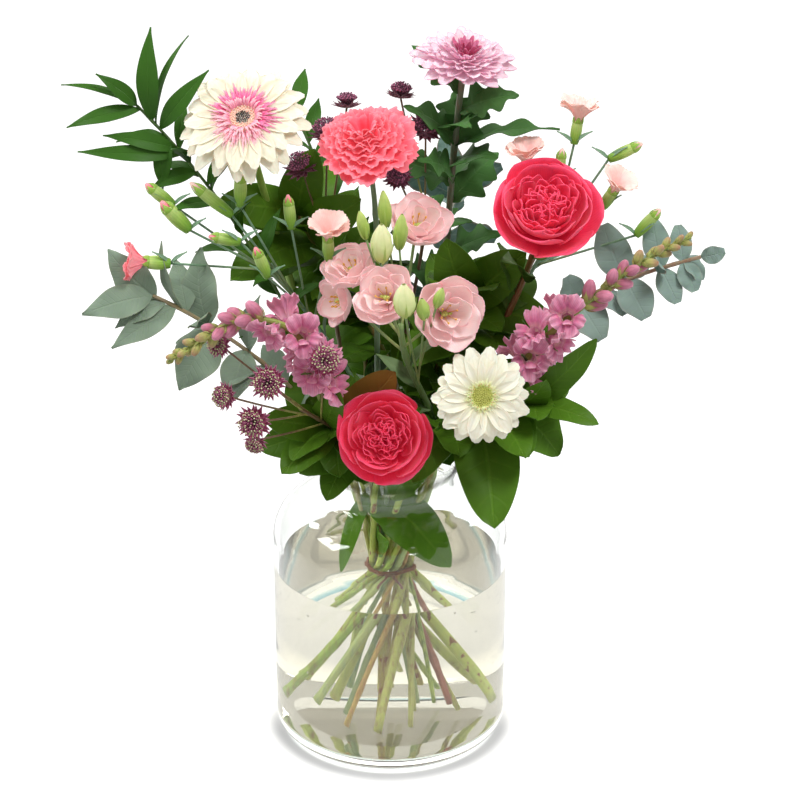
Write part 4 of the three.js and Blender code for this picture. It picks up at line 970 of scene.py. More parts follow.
class BOUQUET_OT_stage(bpy.types.Operator):
    """Makes the white floor, the sky, the lights and the camera"""

    bl_idname = "bouquet.stage"
    bl_label = "Stage"

    def execute(self, context):
        """Builds the stage."""
        settings = context.scene.bouquet_stage
        half = settings.floor_width / 2
        mesh = bpy.data.meshes.new("floor")
        corners = [(-half, -half, 0), (half, -half, 0), (half, half, 0), (-half, half, 0)]
        mesh.from_pydata(corners, [], [(0, 1, 2, 3)])
        mesh.materials.append(self.floor_finish())
        floor = bpy.data.objects.new("floor", mesh)
        context.scene.collection.objects.link(floor)
        self.light(context, settings)
        data = bpy.data.cameras.new("camera")
        data.lens, data.sensor_width, data.clip_end = settings.camera_lens, 36, 60
        camera = bpy.data.objects.new("camera", data)
        camera.location = (0.0075, -1.8, 1.12)
        camera.rotation_euler = (settings.camera_pitch, 0, 0)
        context.scene.collection.objects.link(camera)
        context.scene.camera = camera
        return {"FINISHED"}

    @staticmethod
    def floor_finish():
        """White that glows a little, more under and behind the bottle, with a shade in front of it.

        far is the distance from the bottle's axis in metres; each ease is a ring's inner or outer edge.
        """
        gathered, under_ring, dark = (1.8, 1.78, 1.66), (0.9, 0.9, 0.86), (0.05, 0.05, 0.05)
        f = Finish("floor_white")
        place = f.place("ADD", (0, 0.004, 0))
        far = f.length(place)
        front = 1 - f.add("ShaderNodeSeparateXYZ", None, {0: place}, output=1).ease(-0.03, 0.05)
        lit = 1 - (1 - far.ease(0.086, 0.1)) * far.ease(0.079, 0.084) * front * 0.8
        behind = far.ease(0.078, 0.086) * (1 - far.ease(0.1, 0.13)) * (1 - front)
        under = f.mix(far.ease(0.056, 0.062), gathered, under_ring)
        glow = f.mix(behind, f.mix(far.ease(0.078, 0.092), under, (1.0, 1.0, 1.0)), (1.9, 1.85, 1.7))
        white = f.mix(f.noise(60.0), (0.6, 0.6, 0.59), (0.62, 0.62, 0.61))
        seen = f.add("ShaderNodeBsdfPrincipled", None, {
            "Base Color": f.mix(lit, (0.3, 0.3, 0.31), white), "Roughness": 0.5, "Specular IOR Level": 0.1,
            "Emission Color": f.mix(lit, dark, glow), "Emission Strength": 0.6,
        })
        dim = f.add("ShaderNodeBsdfPrincipled", None, {"Base Color": (0.4, 0.4, 0.4), "Roughness": 0.6})
        bounce = f.add("ShaderNodeLightPath", output=2)
        return f.close(f.either(bounce, seen, dim))

    @staticmethod
    def light(context, settings):
        """Adds the sky and the lights."""
        context.scene.view_settings.view_transform = "Standard"
        world = bpy.data.worlds.new("sky")
        context.scene.world = world
        f = Finish("sky", world)
        way = f.add("ShaderNodeTexCoord", output=0)
        height = f.add("ShaderNodeSeparateXYZ", None, {0: way}, output=2)
        below, level, above = (0.9, 0.9, 0.9), (0.95, 0.94, 0.9), (0.82, 0.81, 0.75)
        grey = f.ramp(height * 0.5 + 0.5, ((0.0, below), (0.5, level), (0.75, above)))
        seen = f.add("ShaderNodeBackground", None, {"Color": grey, "Strength": 1.0})
        even = f.add("ShaderNodeBackground", None, {"Color": (1.0, 1.0, 1.0), "Strength": settings.sky})
        bounce = f.add("ShaderNodeLightPath", output=2)
        f.close(f.either(bounce, seen, even))
        area_light("left_light", (-1.38, -0.15, 1.89), (0.9, 0.8), settings.left_power)
        area_light("front_light", (0.73, -0.73, 2.12), (0.7, 0.55), settings.front_power)
        area_light("back_left_light", (-1.33, 0.96, 1.65), (0.35, 0.3), settings.back_power)
        area_light("back_right_light", (1.43, 1.14, 1.41), (0.35, 0.3), settings.back_power)


class BOUQUET_OT_bottle(bpy.types.Operator):
    """Makes the clear glass bottle, the water in it and the twine round the stems"""

    bl_idname = "bouquet.bottle"
    bl_label = "Bottle, Water and Tie"

    def execute(self, context):
        """Builds the three pieces."""
        settings = context.scene.bouquet_bottle
        glass_bends, water_bends = 1.47, 1.33
        glass, water, tie = Growth(), Growth(), Growth()
        clear = clear_finish("clear_glass", settings.glass, glass_bends, 0x7CC0DA, 0.006, 0.94, 0.85)
        turn_profile(glass, glass_profile(), clear, settings.sides, 0.0002)
        glass.piece("glass_bottle", ["bottle"])
        turn_profile(water, water_profile(), clear_finish("clear_water", settings.water, water_bends))
        self.bubbles(water, clear_finish("air_bubble", 0xFFFFFF, 0.75))
        water.piece("vase_water", ["water"])
        twine(tie, twine_finish("brown_twine", 0x5E2E16, settings.twine))
        tie.piece("twine_tie", ["tie"])
        return {"FINISHED"}

    @staticmethod
    def bubbles(growth, finish):
        """Small bubbles that cling to the inside of the glass, most of them near the surface."""
        count, rng = 70, draws_for("bubbles")
        for _ in range(count):
            angle, radius = rng.uniform(0, TURN), rng.uniform(0.3, 0.9)
            reach = BOTTLE_RADIUS - WALL - 0.3 - radius
            low = FLOOR + 8 + (WATER_LEVEL - FLOOR - 11) * rng.uniform() ** 0.5
            at = (reach * math.cos(angle), reach * math.sin(angle), low)
            growth.bead(at, UP, 2 * radius, radius, finish)


# ---------------------------------------------------------------- where the smaller parts are
# A leaf is its root, its tip, its width and the way its face looks. A bloom is its place, the way it
# faces and its radius. A bud is its two ends and its radius; one of the dianthus also has the reach
# of its open petals, or 0. A spike is a line of points from its foot to its tip.
CHRYSANTHEMUM_LEAVES = [
    ((46, -2, 458), (10, -18, 500), 26, (0.3, -0.6, 0.7)),
    ((48, 0, 456), (66, 14, 502), 32, (0, -1, 0.2)),
    ((48, -2, 452), (118, -22, 484), 24, (-0.3, -0.1, 1)),
    ((45, 0, 430), (20, -22, 462), 24, (0, -0.8, 0.6)),
    ((44, 6, 424), (70, 34, 448), 26, (0, 0.2, 1)),
]
LISIANTHUS_BLOOMS = {
    "a": ((21, -60, 432), (0.2, -0.5, 0.84), 21),
    "b": ((-27, -70, 403), (-0.35, -0.35, 0.87), 19),
    "c": ((-4, -99, 393), (-0.25, -0.75, 0.6), 21),
    "d": ((41, -104, 381), (0.3, -0.88, 0.35), 24),
    "e": ((-38, -66, 374), (-0.7, -0.5, 0.1), 16),
}
LISIANTHUS_BUDS = [
    ((11, -124, 389), (10, -130, 414), 7.5), ((24, -122, 386), (22, -126, 402), 4.5),
    ((32, -118, 393), (36, -122, 408), 3.6), ((-5, -84, 412), (-5, -90, 441), 7.5),
    ((7, -80, 420), (9, -84, 446), 5), ((-16, -76, 426), (-20, -78, 446), 4),
    ((-2, -66, 430), (-4, -66, 456), 4.6),
]
SPIKES = {
    "snapdragon_left": [
        (-52, -100, 345), (-71, -108, 374), (-101, -112, 380), (-128, -116, 366), (-150, -118, 352),
    ],
    "snapdragon_right": [
        (100, -82, 345), (118, -88, 366), (150, -90, 396), (180, -88, 418), (205, -86, 430),
    ],
}
ASTRANTIA = {
    "astrantia_front": [
        ((-82, -128, 341), (-0.1, -0.9, 0.35), 14), ((-92, -132, 313), (-0.25, -0.9, 0.2), 14),
        ((-112, -118, 326), (-0.6, -0.7, 0.3), 11), ((-116, -104, 358), (-0.4, -0.8, 0.4), 10),
        ((-44, -126, 356), (0.2, -0.75, 0.6), 14), ((-92, -120, 292), (-0.2, -0.8, -0.3), 9),
    ],
    "astrantia_left": [
        ((-62, 2, 448), (-0.3, -0.4, 0.9), 14), ((-44, 12, 470), (-0.2, -0.1, 1), 14),
        ((-30, 20, 488), (0, 0.2, 1), 11),
    ],
    "astrantia_right": [
        ((8, 22, 495), (0.1, 0, 1), 11), ((26, 12, 474), (0.2, -0.5, 0.8), 15),
        ((6, -4, 443), (-0.1, -0.7, 0.7), 12),
    ],
}
DIANTHUS = {
    "dianthus_left": [
        ((-152, -50, 396), (-172, -52, 398), 5, 16), ((-139, -40, 417), (-157, -42, 438), 5.5, 0),
        ((-150, -32, 432), (-168, -33, 448), 4.5, 0), ((-109, -40, 428), (-136, -42, 452), 4.5, 0),
        ((-103, -42, 436), (-102, -46, 462), 4.6, 0), ((-103, -50, 412), (-124, -52, 417), 4.2, 0),
        ((-84, -60, 390), (-92, -62, 412), 4.4, 0), ((-68, -40, 418), (-70, -40, 442), 4.2, 0),
        ((-42, -58, 402), (-42, -64, 424), 4.2, 18),
    ],
    "dianthus_right": [
        ((128, -22, 474), (131, -20, 494), 4, 17), ((98, -22, 444), (95, -24, 464), 4, 17),
        ((148, -40, 434), (156, -44, 450), 4.2, 17), ((117, -25, 448), (120, -23, 470), 4, 0),
        ((152, -26, 464), (174, -28, 476), 4.2, 0), ((172, -35, 411), (188, -35, 430), 4.2, 0),
    ],
}
EUCALYPTUS = {
    "eucalyptus_left": [
        ((-165, -55, 373), (-213, -70, 366), 24, (0, -0.8, 0.6)),
        ((-150, -53, 362), (-193, -76, 343), 20, (0.1, -0.8, 0.6)),
        ((-162, -54, 374), (-196, -44, 404), 28, (-0.4, -0.8, 0.3)),
        ((-146, -50, 362), (-158, -48, 412), 12, (-0.8, -0.6, 0)),
        ((-120, -44, 348), (-148, -66, 306), 34, (-0.3, -0.9, 0.2)),
        ((-126, -44, 352), (-132, -30, 400), 30, (-0.4, -0.8, 0.2)),
        ((-98, -40, 332), (-112, -76, 300), 26, (-0.1, -0.9, 0.3)),
    ],
    "eucalyptus_right": [
        ((218, -38, 396), (234, -42, 402), 13, (0, -1, 0.2)),
        ((206, -38, 396), (214, -48, 374), 17, (0, -1, 0.3)),
        ((206, -38, 396), (202, -28, 416), 16, (0, -1, 0.3)),
        ((186, -38, 394), (202, -50, 366), 18, (0.2, -1, 0.3)),
        ((186, -38, 394), (184, -26, 420), 20, (0, -1, 0.3)),
        ((160, -36, 384), (180, -54, 356), 26, (0.2, -1, 0.2)),
        ((160, -36, 384), (150, -22, 414), 26, (0, -1, 0.2)),
        ((128, -32, 360), (150, -54, 340), 26, (0.2, -1, 0.2)),
    ],
    "eucalyptus_back": [
        ((48, 116, 396), (40, 132, 424), 20, (0, 0.9, 0.4)),
        ((46, 110, 390), (84, 122, 404), 26, (0.2, 0.9, 0.4)),
        ((46, 108, 388), (8, 122, 398), 26, (-0.2, 0.9, 0.4)),
        ((38, 92, 360), (80, 104, 352), 30, (0.2, 0.9, 0.4)),
        ((38, 92, 360), (2, 112, 352), 30, (-0.2, 0.9, 0.4)),
        ((30, 70, 325), (70, 88, 306), 32, (0.2, 0.9, 0.4)),
        ((30, 70, 325), (-8, 92, 306), 32, (-0.2, 0.9, 0.4)),
    ],
}
RUSCUS_LEFT = [
    ((-175, -8, 497), (-201, -20, 524), 12, (0.4, -0.8, 0.4)),
    ((-175, -8, 497), (-226, -14, 514), 6, (0.2, -0.6, 0.8)),
    ((-172, -9, 495), (-223, -20, 485), 12, (0.1, -0.7, 0.7)),
    ((-163, -9, 489), (-164, 0, 551), 16, (-0.2, -1, 0)),
    ((-160, -9, 487), (-138, 0, 545), 7, (-0.8, -0.6, 0)),
    ((-158, -9, 484), (-124, -12, 524), 14, (-0.5, -0.8, 0)),
    ((-152, -9, 476), (-158, -22, 440), 14, (-0.3, -1, 0)),
    ((-146, -9, 468), (-198, -22, 480), 12, (0.2, -0.8, 0.5)),
    ((-143, -9, 462), (-216, -22, 468), 12, (0.1, -0.8, 0.5)),
    ((-134, -9, 450), (-166, -26, 442), 12, (0, -0.7, 0.7)),
    ((-126, -9, 440), (-100, -4, 474), 12, (-0.6, -0.8, 0)),
]
SALAL = {
    "salal_right": [
        ((52, -84, 262), (73, -122, 226), 46, (0.05, -0.9, 0.4)),
        ((52, -38, 232), (2, -33, 203), 30, (-0.1, -0.9, 0.4)),
        ((44, -62, 262), (16, -92, 246), 26, (0.1, -0.5, 0.8)),
        ((60, -84, 268), (34, -120, 304), 26, (-0.5, -0.7, 0.3)),
        ((68, -80, 266), (94, -116, 278), 34, (0.1, -0.6, 0.8)),
        ((86, -72, 276), (108, -100, 330), 28, (0.3, -0.9, 0.1)),
        ((98, -66, 290), (146, -92, 292), 20, (0, -0.5, 0.9)),
        ((98, -62, 294), (144, -76, 350), 24, (0.4, -0.9, 0.2)),
    ],
    "salal_left": [
        ((-10, -28, 188), (44, -58, 160), 38, (0.2, -0.9, 0.4)),
        ((-18, -26, 190), (-36, -34, 142), 13, (-0.3, -0.9, 0.2)),
        ((-6, -18, 150), (-1, -34, 168), 22, (0, -0.9, 0.4)),
        ((-32, -62, 262), (-8, -106, 252), 28, (0.2, -0.5, 0.8)),
        ((-42, -64, 272), (-88, -92, 296), 28, (-0.2, -0.8, 0.6)),
        ((-42, -66, 270), (-68, -104, 270), 26, (-0.3, -0.5, 0.8)),
        ((-40, -62, 276), (-34, -104, 322), 26, (-0.3, -0.9, 0.2)),
    ],
    "salal_upper": [
        ((-66, 26, 402), (-122, -8, 424), 34, (-0.2, -0.8, 0.6)),
        ((-66, 26, 402), (-52, 0, 462), 32, (-0.1, -0.9, 0.3)),
        ((-60, 24, 384), (-20, -16, 430), 36, (0.2, -0.8, 0.5)),
        ((-58, 24, 376), (-112, -24, 372), 38, (-0.2, -0.7, 0.7)),
        ((-50, 22, 352), (-4, -34, 366), 36, (0.1, -0.7, 0.7)),
        ((-46, 20, 334), (-84, -36, 326), 38, (-0.2, -0.7, 0.7)),
    ],
    "salal_middle": [
        ((58, -8, 350), (118, -36, 340), 36, (0.2, -0.8, 0.5)),
        ((56, -8, 348), (40, -34, 408), 34, (-0.1, -0.9, 0.3)),
        ((40, -8, 306), (78, -62, 300), 34, (0.2, -0.7, 0.7)),
        ((56, -10, 346), (70, -60, 380), 34, (0.2, -0.8, 0.6)),
        ((58, -8, 350), (96, -30, 396), 34, (-0.2, -0.9, 0.4)),
        ((52, -10, 336), (34, -66, 340), 32, (-0.2, -0.4, 0.9)),
        ((46, -8, 322), (10, -58, 322), 34, (0, -0.6, 0.8)),
        ((50, -6, 334), (82, -56, 330), 30, (0.3, -0.6, 0.7)),
    ],
    "salal_back": [
        ((-22, 82, 326), (-66, 112, 346), 34, (-0.3, 0.7, 0.6)),
        ((-20, 80, 322), (22, 112, 290), 34, (0.2, 0.8, 0.6)),
        ((-22, 76, 312), (-64, 104, 286), 34, (-0.3, 0.8, 0.5)),
        ((-18, 60, 286), (10, 96, 256), 36, (0.2, 0.8, 0.5)),
        ((-18, 60, 286), (-44, 92, 254), 34, (-0.3, 0.8, 0.5)),
    ],
}


RED_LEAF = ((-22, -62, 270), (4, -89, 331), 34, (0, -0.8, 0.5))

# The way to a viewer in front, and how far each large bloom reaches from its middle.
FRONT = unit((0, -0.9, 0.43))
FACE_REACH = {
    "gerbera_cream": 46, "gerbera_white": 35, "carnation": 40, "chrysanthemum": 40, "rose_high": 38,
    "rose_low": 34,
}


@functools.lru_cache(maxsize=1)
def faces_to_keep():
    """The centre and the reach of every flower that a filler leaf may not stand in front of."""
    spike_reach, bud_reach, margin = 14, 7, 1
    kept = [(STEMS[name]["head"], reach) for name, reach in FACE_REACH.items()]
    kept += [(at, radius + margin) for at, _, radius in LISIANTHUS_BLOOMS.values()]
    kept += [(at, radius + margin) for heads in ASTRANTIA.values() for at, _, radius in heads]
    kept += [(top, bud_reach + opened / 2) for heads in DIANTHUS.values() for _, top, _, opened in heads]
    kept += [(at, spike_reach) for line in SPIKES.values() for at in line]
    kept += [(top, radius + margin) for _, top, radius in LISIANTHUS_BUDS]
    return np.array([at for at, _ in kept], float), np.array([reach for _, reach in kept], float)


def covers(points):
    """Whether any of the points stands in front of a flower, or just behind its face."""
    just_behind = -6
    centres, reaches = faces_to_keep()
    apart = points[:, None] - centres
    ahead = apart @ FRONT
    aside = np.linalg.norm(apart - ahead[..., None] * FRONT, axis=-1)
    return bool(np.any((ahead > just_behind) & (aside < reaches)))


def filler_leaves(growth, name, finish, rng, start, end, count, length, width, **shape):
    """More leaves along a stretch of a stem, turned round it, which close the gaps in the greenery.

    A leaf that would cover a flower is turned on, and left out if no turn helps.
    """
    a_stem = bundle()[name]
    behind = a_stem["head"][1] > 40
    outward = -FRONT if behind else FRONT
    attempts, turned_on = 9, 0.37
    for i in range(count):
        root, along = stem_at(a_stem, start + (end - start) * i / (count - 1))
        for attempt in range(attempts):
            out = sideways(along, (0.1, 1, 0.2), (i + turned_on * attempt) * GOLDEN + a_stem["slot"][0])
            if behind:
                out[1] = abs(out[1])
            tip = root + unit(out + rng.uniform(0.3, 0.8) * along) * length * rng.uniform(0.8, 1.15)
            side = unit(np.cross(tip - root, FRONT)) * width / 2
            middle = (root + 2 * tip) / 3
            if not covers(np.array((middle, tip, middle + side, middle - side))):
                up = unit(0.7 * UP + 0.5 * along + outward + rng.normal(0, 0.25, 3))
                leaf(growth, root, tip, width * rng.uniform(0.85, 1.15), up, finish, rng, **shape)
                break


# ---------------------------------------------------------------- foliage
class BOUQUET_OT_salal(bpy.types.Operator):
    """Makes the leafy stems with broad glossy leaves"""

    bl_idname = "bouquet.salal"
    bl_label = "Broad Leaves"

    def execute(self, context):
        """Builds five leafy stems."""
        green = context.scene.bouquet_foliage.broad
        leaves = leaf_finish("broad_leaf", 0x0F2800, green, 0x86B040, 0x567E22, 0.4, 7, edge=0x46781A)
        red = leaf_finish("red_leaf", 0x6A4218, 0xA06A2A, 0xC09850, 0x8A6A2E, 0.42, 7)
        wood = stem_finish("leafy_stem", 0xB5B456, 0x6E7A35, 0x8A5A3A)
        rosy = stem_finish("rosy_stem", 0xA8705A, 0x6E7A35, 0x8A4A3A, spots=0.4)
        for k, (name, table) in enumerate(SALAL.items()):
            growth, rng = Growth(), draws_for("broad leaves", k)
            stem(growth, name, rosy if name == "salal_back" else wood, knots=7)
            leaves_of(growth, name, table, leaves, rng, fold=0.16, wave=0.03, shape=ovate)
            if name == "salal_left":
                leaves_of(growth, name, [RED_LEAF], red, rng, fold=0.1, wave=0.02, arch=0.02, shape=ovate)
            filler_leaves(growth, name, leaves, rng, 0.4, 0.98, 20, 50, 32, fold=0.16, shape=ovate)
            growth.piece(name + "_leafy", [name])
        return {"FINISHED"}


class BOUQUET_OT_eucalyptus(bpy.types.Operator):
    """Makes the grey-green eucalyptus: long leaves at the left, round ones at the right and back"""

    bl_idname = "bouquet.eucalyptus"
    bl_label = "Eucalyptus"

    def execute(self, context):
        """Builds three leafy stems."""
        grey = context.scene.bouquet_foliage.grey
        olive = leaf_finish("long_grey_leaf", 0x46604E, 0x84997E, 0xA8B498, 0x8A9C88, 0.6, 12, 0.25,
                            edge=0x9A8A70)
        blue = leaf_finish("round_grey_leaf", 0x527068, grey, 0xB0C0B4, 0x94AAA0, 0.62, 6, 0.22,
                           edge=0xB08A7A)
        plain = stem_finish("pale_eucalyptus_stem", 0xB8C070, 0x9A8A70, 0xA0905A, spots=0.3)
        wood = stem_finish("eucalyptus_stem", 0xC0A85A, 0x9A8A70, 0xA0604A, spots=0.4)
        for k, (name, table) in enumerate(EUCALYPTUS.items()):
            growth, rng = Growth(), draws_for("eucalyptus", k)
            stem(growth, name, wood if name == "eucalyptus_right" else plain, knots=9)
            long = name == "eucalyptus_left"
            finish, shape, arch, length = (olive, pointed, 0.1, 40) if long else (blue, rounded, 0.05, 24)
            leaves_of(growth, name, table, finish, rng, fold=0.12, shape=shape, wave=0.05, arch=arch)
            filler_leaves(growth, name, finish, rng, 0.4, 0.95, 8, length, 20, shape=shape, fold=0.1)
            growth.piece(name + "_leafy", [name])
        return {"FINISHED"}


class BOUQUET_OT_ruscus(bpy.types.Operator):
    """Makes the trailing stems with narrow pointed leaves"""

    bl_idname = "bouquet.ruscus"
    bl_label = "Narrow Leaves"

    def execute(self, context):
        """Builds two trailing stems."""
        green = context.scene.bouquet_foliage.narrow
        leaves = leaf_finish("narrow_leaf", 0x122F06, green, 0x5E8A38, 0x3E6A24, 0.42, 0.5, 0.3)
        wiry = stem_finish("wiry_stem", 0xA8BC58, 0x3E5E24, 0x5A7A34, rough=0.4, spots=0.0)
        rng = draws_for("narrow leaves")
        left = Growth()
        stem(left, "ruscus_left", wiry, knots=14, sides=10)
        leaves_of(left, "ruscus_left", RUSCUS_LEFT, leaves, rng, arch=0.14, fold=0.15, wave=0.02)
        filler_leaves(left, "ruscus_left", leaves, rng, 0.4, 0.9, 14, 40, 11, fold=0.15, arch=0.12)
        left.piece("ruscus_left_leafy", ["ruscus_left"])
        back = Growth()
        stem(back, "ruscus_back", wiry, knots=14, sides=10)
        count = 15
        for i in range(count):
            root, along = stem_at(bundle()["ruscus_back"], 0.35 + 0.64 * i / (count - 1))
            side = unit(np.cross(UP, along)) * (1 if i % 2 else -1)
            way = unit(side + 0.9 * along + UP * 0.25 * draw(i, 11))
            tip = root + way * 44 * (1 + 0.15 * draw(i, 12))
            leaf(back, root, tip, 12, (0.2 * draw(i, 13), -0.3, 1), leaves, rng, arch=0.12, fold=0.15)
        back.piece("ruscus_back_leafy", ["ruscus_back"])
        return {"FINISHED"}


# ---------------------------------------------------------------- the flowers
def disc_of(growth, place, count, radius, height, finish, size, rng, start=0.0, dome=0.0):
    """Small buds set close in a spiral over a disc: from start to 1 of its radius."""
    for k in range(count):
        share = math.sqrt(start**2 + (1 - start**2) * (k + 0.5) / count)
        out = np.array((math.cos(k * GOLDEN), math.sin(k * GOLDEN), 0))
        base = out * (radius * share) + UP * (height + dome * (1 - share**2))
        way = unit(out * 0.5 * share + UP)
        low, top = put(place, base), put(place, base + way * size * rng.uniform(1.6, 2.4))
        length = np.linalg.norm(top - low)
        growth.bead(low, top - low, length, size * 0.5, finish, 5, float(rng.uniform()), 4)


def gerbera_petals(growth, place, radius, hub, finish, rng, counts=(22, 20), sag=6.0, broad=1.0):
    """Two rows of long grooved ray petals; those at the flower's foot droop more."""
    look = {"tip": 0.16, "teeth": (3, 0.025), "cup": 0.16, "crease": 0.35, "ruffle": (0.6, 1.0)}
    for row, count in enumerate(counts):
        length = radius * (0.9 if row else 1.0)
        half = math.pi * length / count * 1.06 * broad
        for i in range(count):
            turn = TURN * (i + 0.5 * row) / count + rng.normal(0, 0.035)
            downward = 0.5 - 0.5 * math.sin(turn)
            tip = length * rng.uniform(0.94, 1.03)
            drop = (-1.5 if row else -sag * (0.5 + downward)) + rng.normal(0, 1.2)
            lift = 0.2 + 2.2 * row
            path = ((hub * 0.55, lift), (tip * 0.45, lift + 3.2), (tip * 0.8, lift + 3 + drop * 0.4),
                    (tip, lift + drop))
            widths = (half * 0.4, half * 1.05, half * 1.25, half * 0.55)
            petal(growth, place, turn, path, widths, finish, rng, grid=(14, 10), thick=0.5, **look)


def strap_ring(growth, place, count, start, end, lift, half, finish, rng, curl=2.0, low=None):
    """A ring of short strap florets round the disc; low is the paler finish of most of those at its foot,
    painted light that makes the flower's lower side lighter.
    """
    for i in range(count):
        turn = TURN * i / count + rng.normal(0, 0.05)
        # Florets on the flower's lower side mostly take the paler finish: painted light.
        at_foot = low and math.sin(turn) + 0.3 * math.cos(turn) < rng.uniform(-0.75, 0.15)
        tip = end * rng.uniform(0.86, 1.1)
        end_lift = lift + curl * rng.uniform(0.2, 1.2)
        path = ((start, lift), ((start + tip) / 2, lift + curl + 1.2), (tip, end_lift))
        petal(growth, place, turn, path, (half * 0.7, half, half * 0.5), low if at_foot else finish, rng,
              tip=0.35, cup=0.3, grid=(6, 4), thick=0.35)


class BOUQUET_OT_gerberas(bpy.types.Operator):
    """Makes the cream gerbera with its pink ring and the white one with its green heart"""

    bl_idname = "bouquet.gerberas"
    bl_label = "Gerberas"

    def execute(self, context):
        """Builds petals, heart and stem of both."""
        colors = context.scene.bouquet_flowers
        green = stem_finish("gerbera_stem", 0xBFCC62, 0x86A848, 0xA8C060, rough=0.5)
        self.cream(colors, green)
        self.white(colors, green)
        return {"FINISHED"}

    @staticmethod
    def bowl(name, finish):
        """A gerbera's stem with the scaly green bowl under its head."""
        growth, rng = Growth(), draws_for("scales")
        stem(growth, name, finish, sides=20)
        place, depth = head_place(STEMS[name]), STEMS[name]["depth"]
        radius, brim, below_petals, steps = STEMS[name]["radius"] * 0.85, 9, -2.9, 8
        line = [put(place, (0, 0, z)) for z in np.linspace(-depth - 1, below_petals, steps)]
        growth.tube(line, radius + (brim - radius) * np.linspace(0, 1, steps) ** 0.7, finish, 20)
        scales = leaf_finish(name + "_scale", 0x4E6E2A, 0x7FA04A, 0x9DB56A, 0x6E8E40)
        count = 14
        for row in range(3):
            low, wide = -depth + 1 + 2.5 * row, radius + 1.5 + 1.9 * row
            path = ((wide, low), (wide + 1.6, low + 3), (wide + 2.0, low + 6))
            for i in range(count):
                turn = TURN * (i + row / 2) / count
                petal(growth, place, turn, path, (1.2, 1.3, 0.2), scales, rng, tip=0.3, grid=(5, 3),
                      thick=0.3)
        growth.piece(name + "_stalk", [name + "_stem"])

    def cream(self, colors, green):
        """The large gerbera."""
        place, rng = head_place(STEMS["gerbera_cream"]), draws_for("cream gerbera")
        ray = petal_finish("cream_ray", 0xEED4C0, colors.cream, 0xF4EEDC, 0xD8C8A0, 0xE4D8B8, 0.35, 5)
        petals = Growth()
        gerbera_petals(petals, place, 46, 15, ray, rng, (20, 18), sag=7, broad=0.97)
        petals.piece("gerbera_cream_rays", ["gerbera_cream_petals"])
        hot = petal_finish("pink_strap", 0xD8487E, colors.pink_ring, 0xF8A4C2, 0xD0407C, 0xF08CB0, ribs=4)
        blush = petal_finish("blush_strap", 0xE8A08E, 0xF6CBB4, 0xFBE4D0, 0xE89A98, 0xF0C4B0, ribs=4)
        eye = grain_finish("dark_eye", 0x0A0304, 0x2A1010, rough=0.85)
        soft = petal_finish("soft_strap", 0xE8809C, 0xF7AFC0, 0xFBD0D0, 0xEE90A8, 0xF6B4C0, 0.25, 4)
        heart = Growth()
        rings = ((70, 13, 27, 3.0, 1.6), (66, 12, 24, 3.8, 2.4), (60, 11, 20.5, 4.6, 3.2))
        for count, start, end, lift, curl in rings:
            # The soft finish on the outer rings' lower florets is painted light; the inner ring's soft
            # florets are their own paler pink.
            strap_ring(heart, place, count, start, end, lift, 0.95, hot, rng, curl, low=soft)
        strap_ring(heart, place, 50, 9, 15.5, 5.2, 1.0, soft, rng, 3.8)
        disc_of(heart, place, 150, 12.5, 4.0, blush, 1.3, rng, start=0.34, dome=-1.2)
        disc_of(heart, place, 44, 4.6, 3.2, eye, 1.1, rng)
        self.disc_base(heart, place, 12, 2.4, blush)
        heart.piece("gerbera_cream_eye", ["gerbera_cream_heart"])
        self.bowl("gerbera_cream", green)

    def white(self, colors, green):
        """The small gerbera."""
        place, rng = head_place(STEMS["gerbera_white"]), draws_for("white gerbera")
        ray = petal_finish("white_ray", 0xE6E0B0, colors.white, 0xF6F2E2, 0xD6CEA4, 0xE8E2C8, 0.35, 5)
        petals = Growth()
        gerbera_petals(petals, place, 34, 10, ray, rng, (18, 16), sag=3, broad=1.05)
        petals.piece("gerbera_white_rays", ["gerbera_white_petals"])
        lime = petal_finish("lime_strap", 0xB8C05A, 0xE2E6A0, 0xF7F5D8, 0xA8B04A, 0xE0E0A8, ribs=4)
        green_eye = grain_finish("green_eye", 0xB4B848, 0xE4E484)
        peach = grain_finish("peach_anther", 0xD8A05A, 0xF2D0A0)
        heart = Growth()
        strap_ring(heart, place, 34, 7, 12.5, 3.2, 1.0, lime, rng, 1.8)
        strap_ring(heart, place, 30, 6, 10.5, 3.8, 0.9, lime, rng, 2.2)
        disc_of(heart, place, 110, 7.5, 3.8, green_eye, 1.0, rng, dome=0.6)
        disc_of(heart, place, 26, 8.4, 5.2, peach, 0.9, rng, start=0.85)
        self.disc_base(heart, place, 9, 3.3, green_eye)
        heart.piece("gerbera_white_eye", ["gerbera_white_heart"])
        self.bowl("gerbera_white", green)

    @staticmethod
    def disc_base(growth, place, radius, height, finish):
        """The cushion that the florets of a disc stand on."""
        line = [put(place, (0, 0, z)) for z in (height, height + 0.6, height + 1.2)]
        growth.tube(line, (radius, radius * 0.96, radius * 0.8), finish, 24)


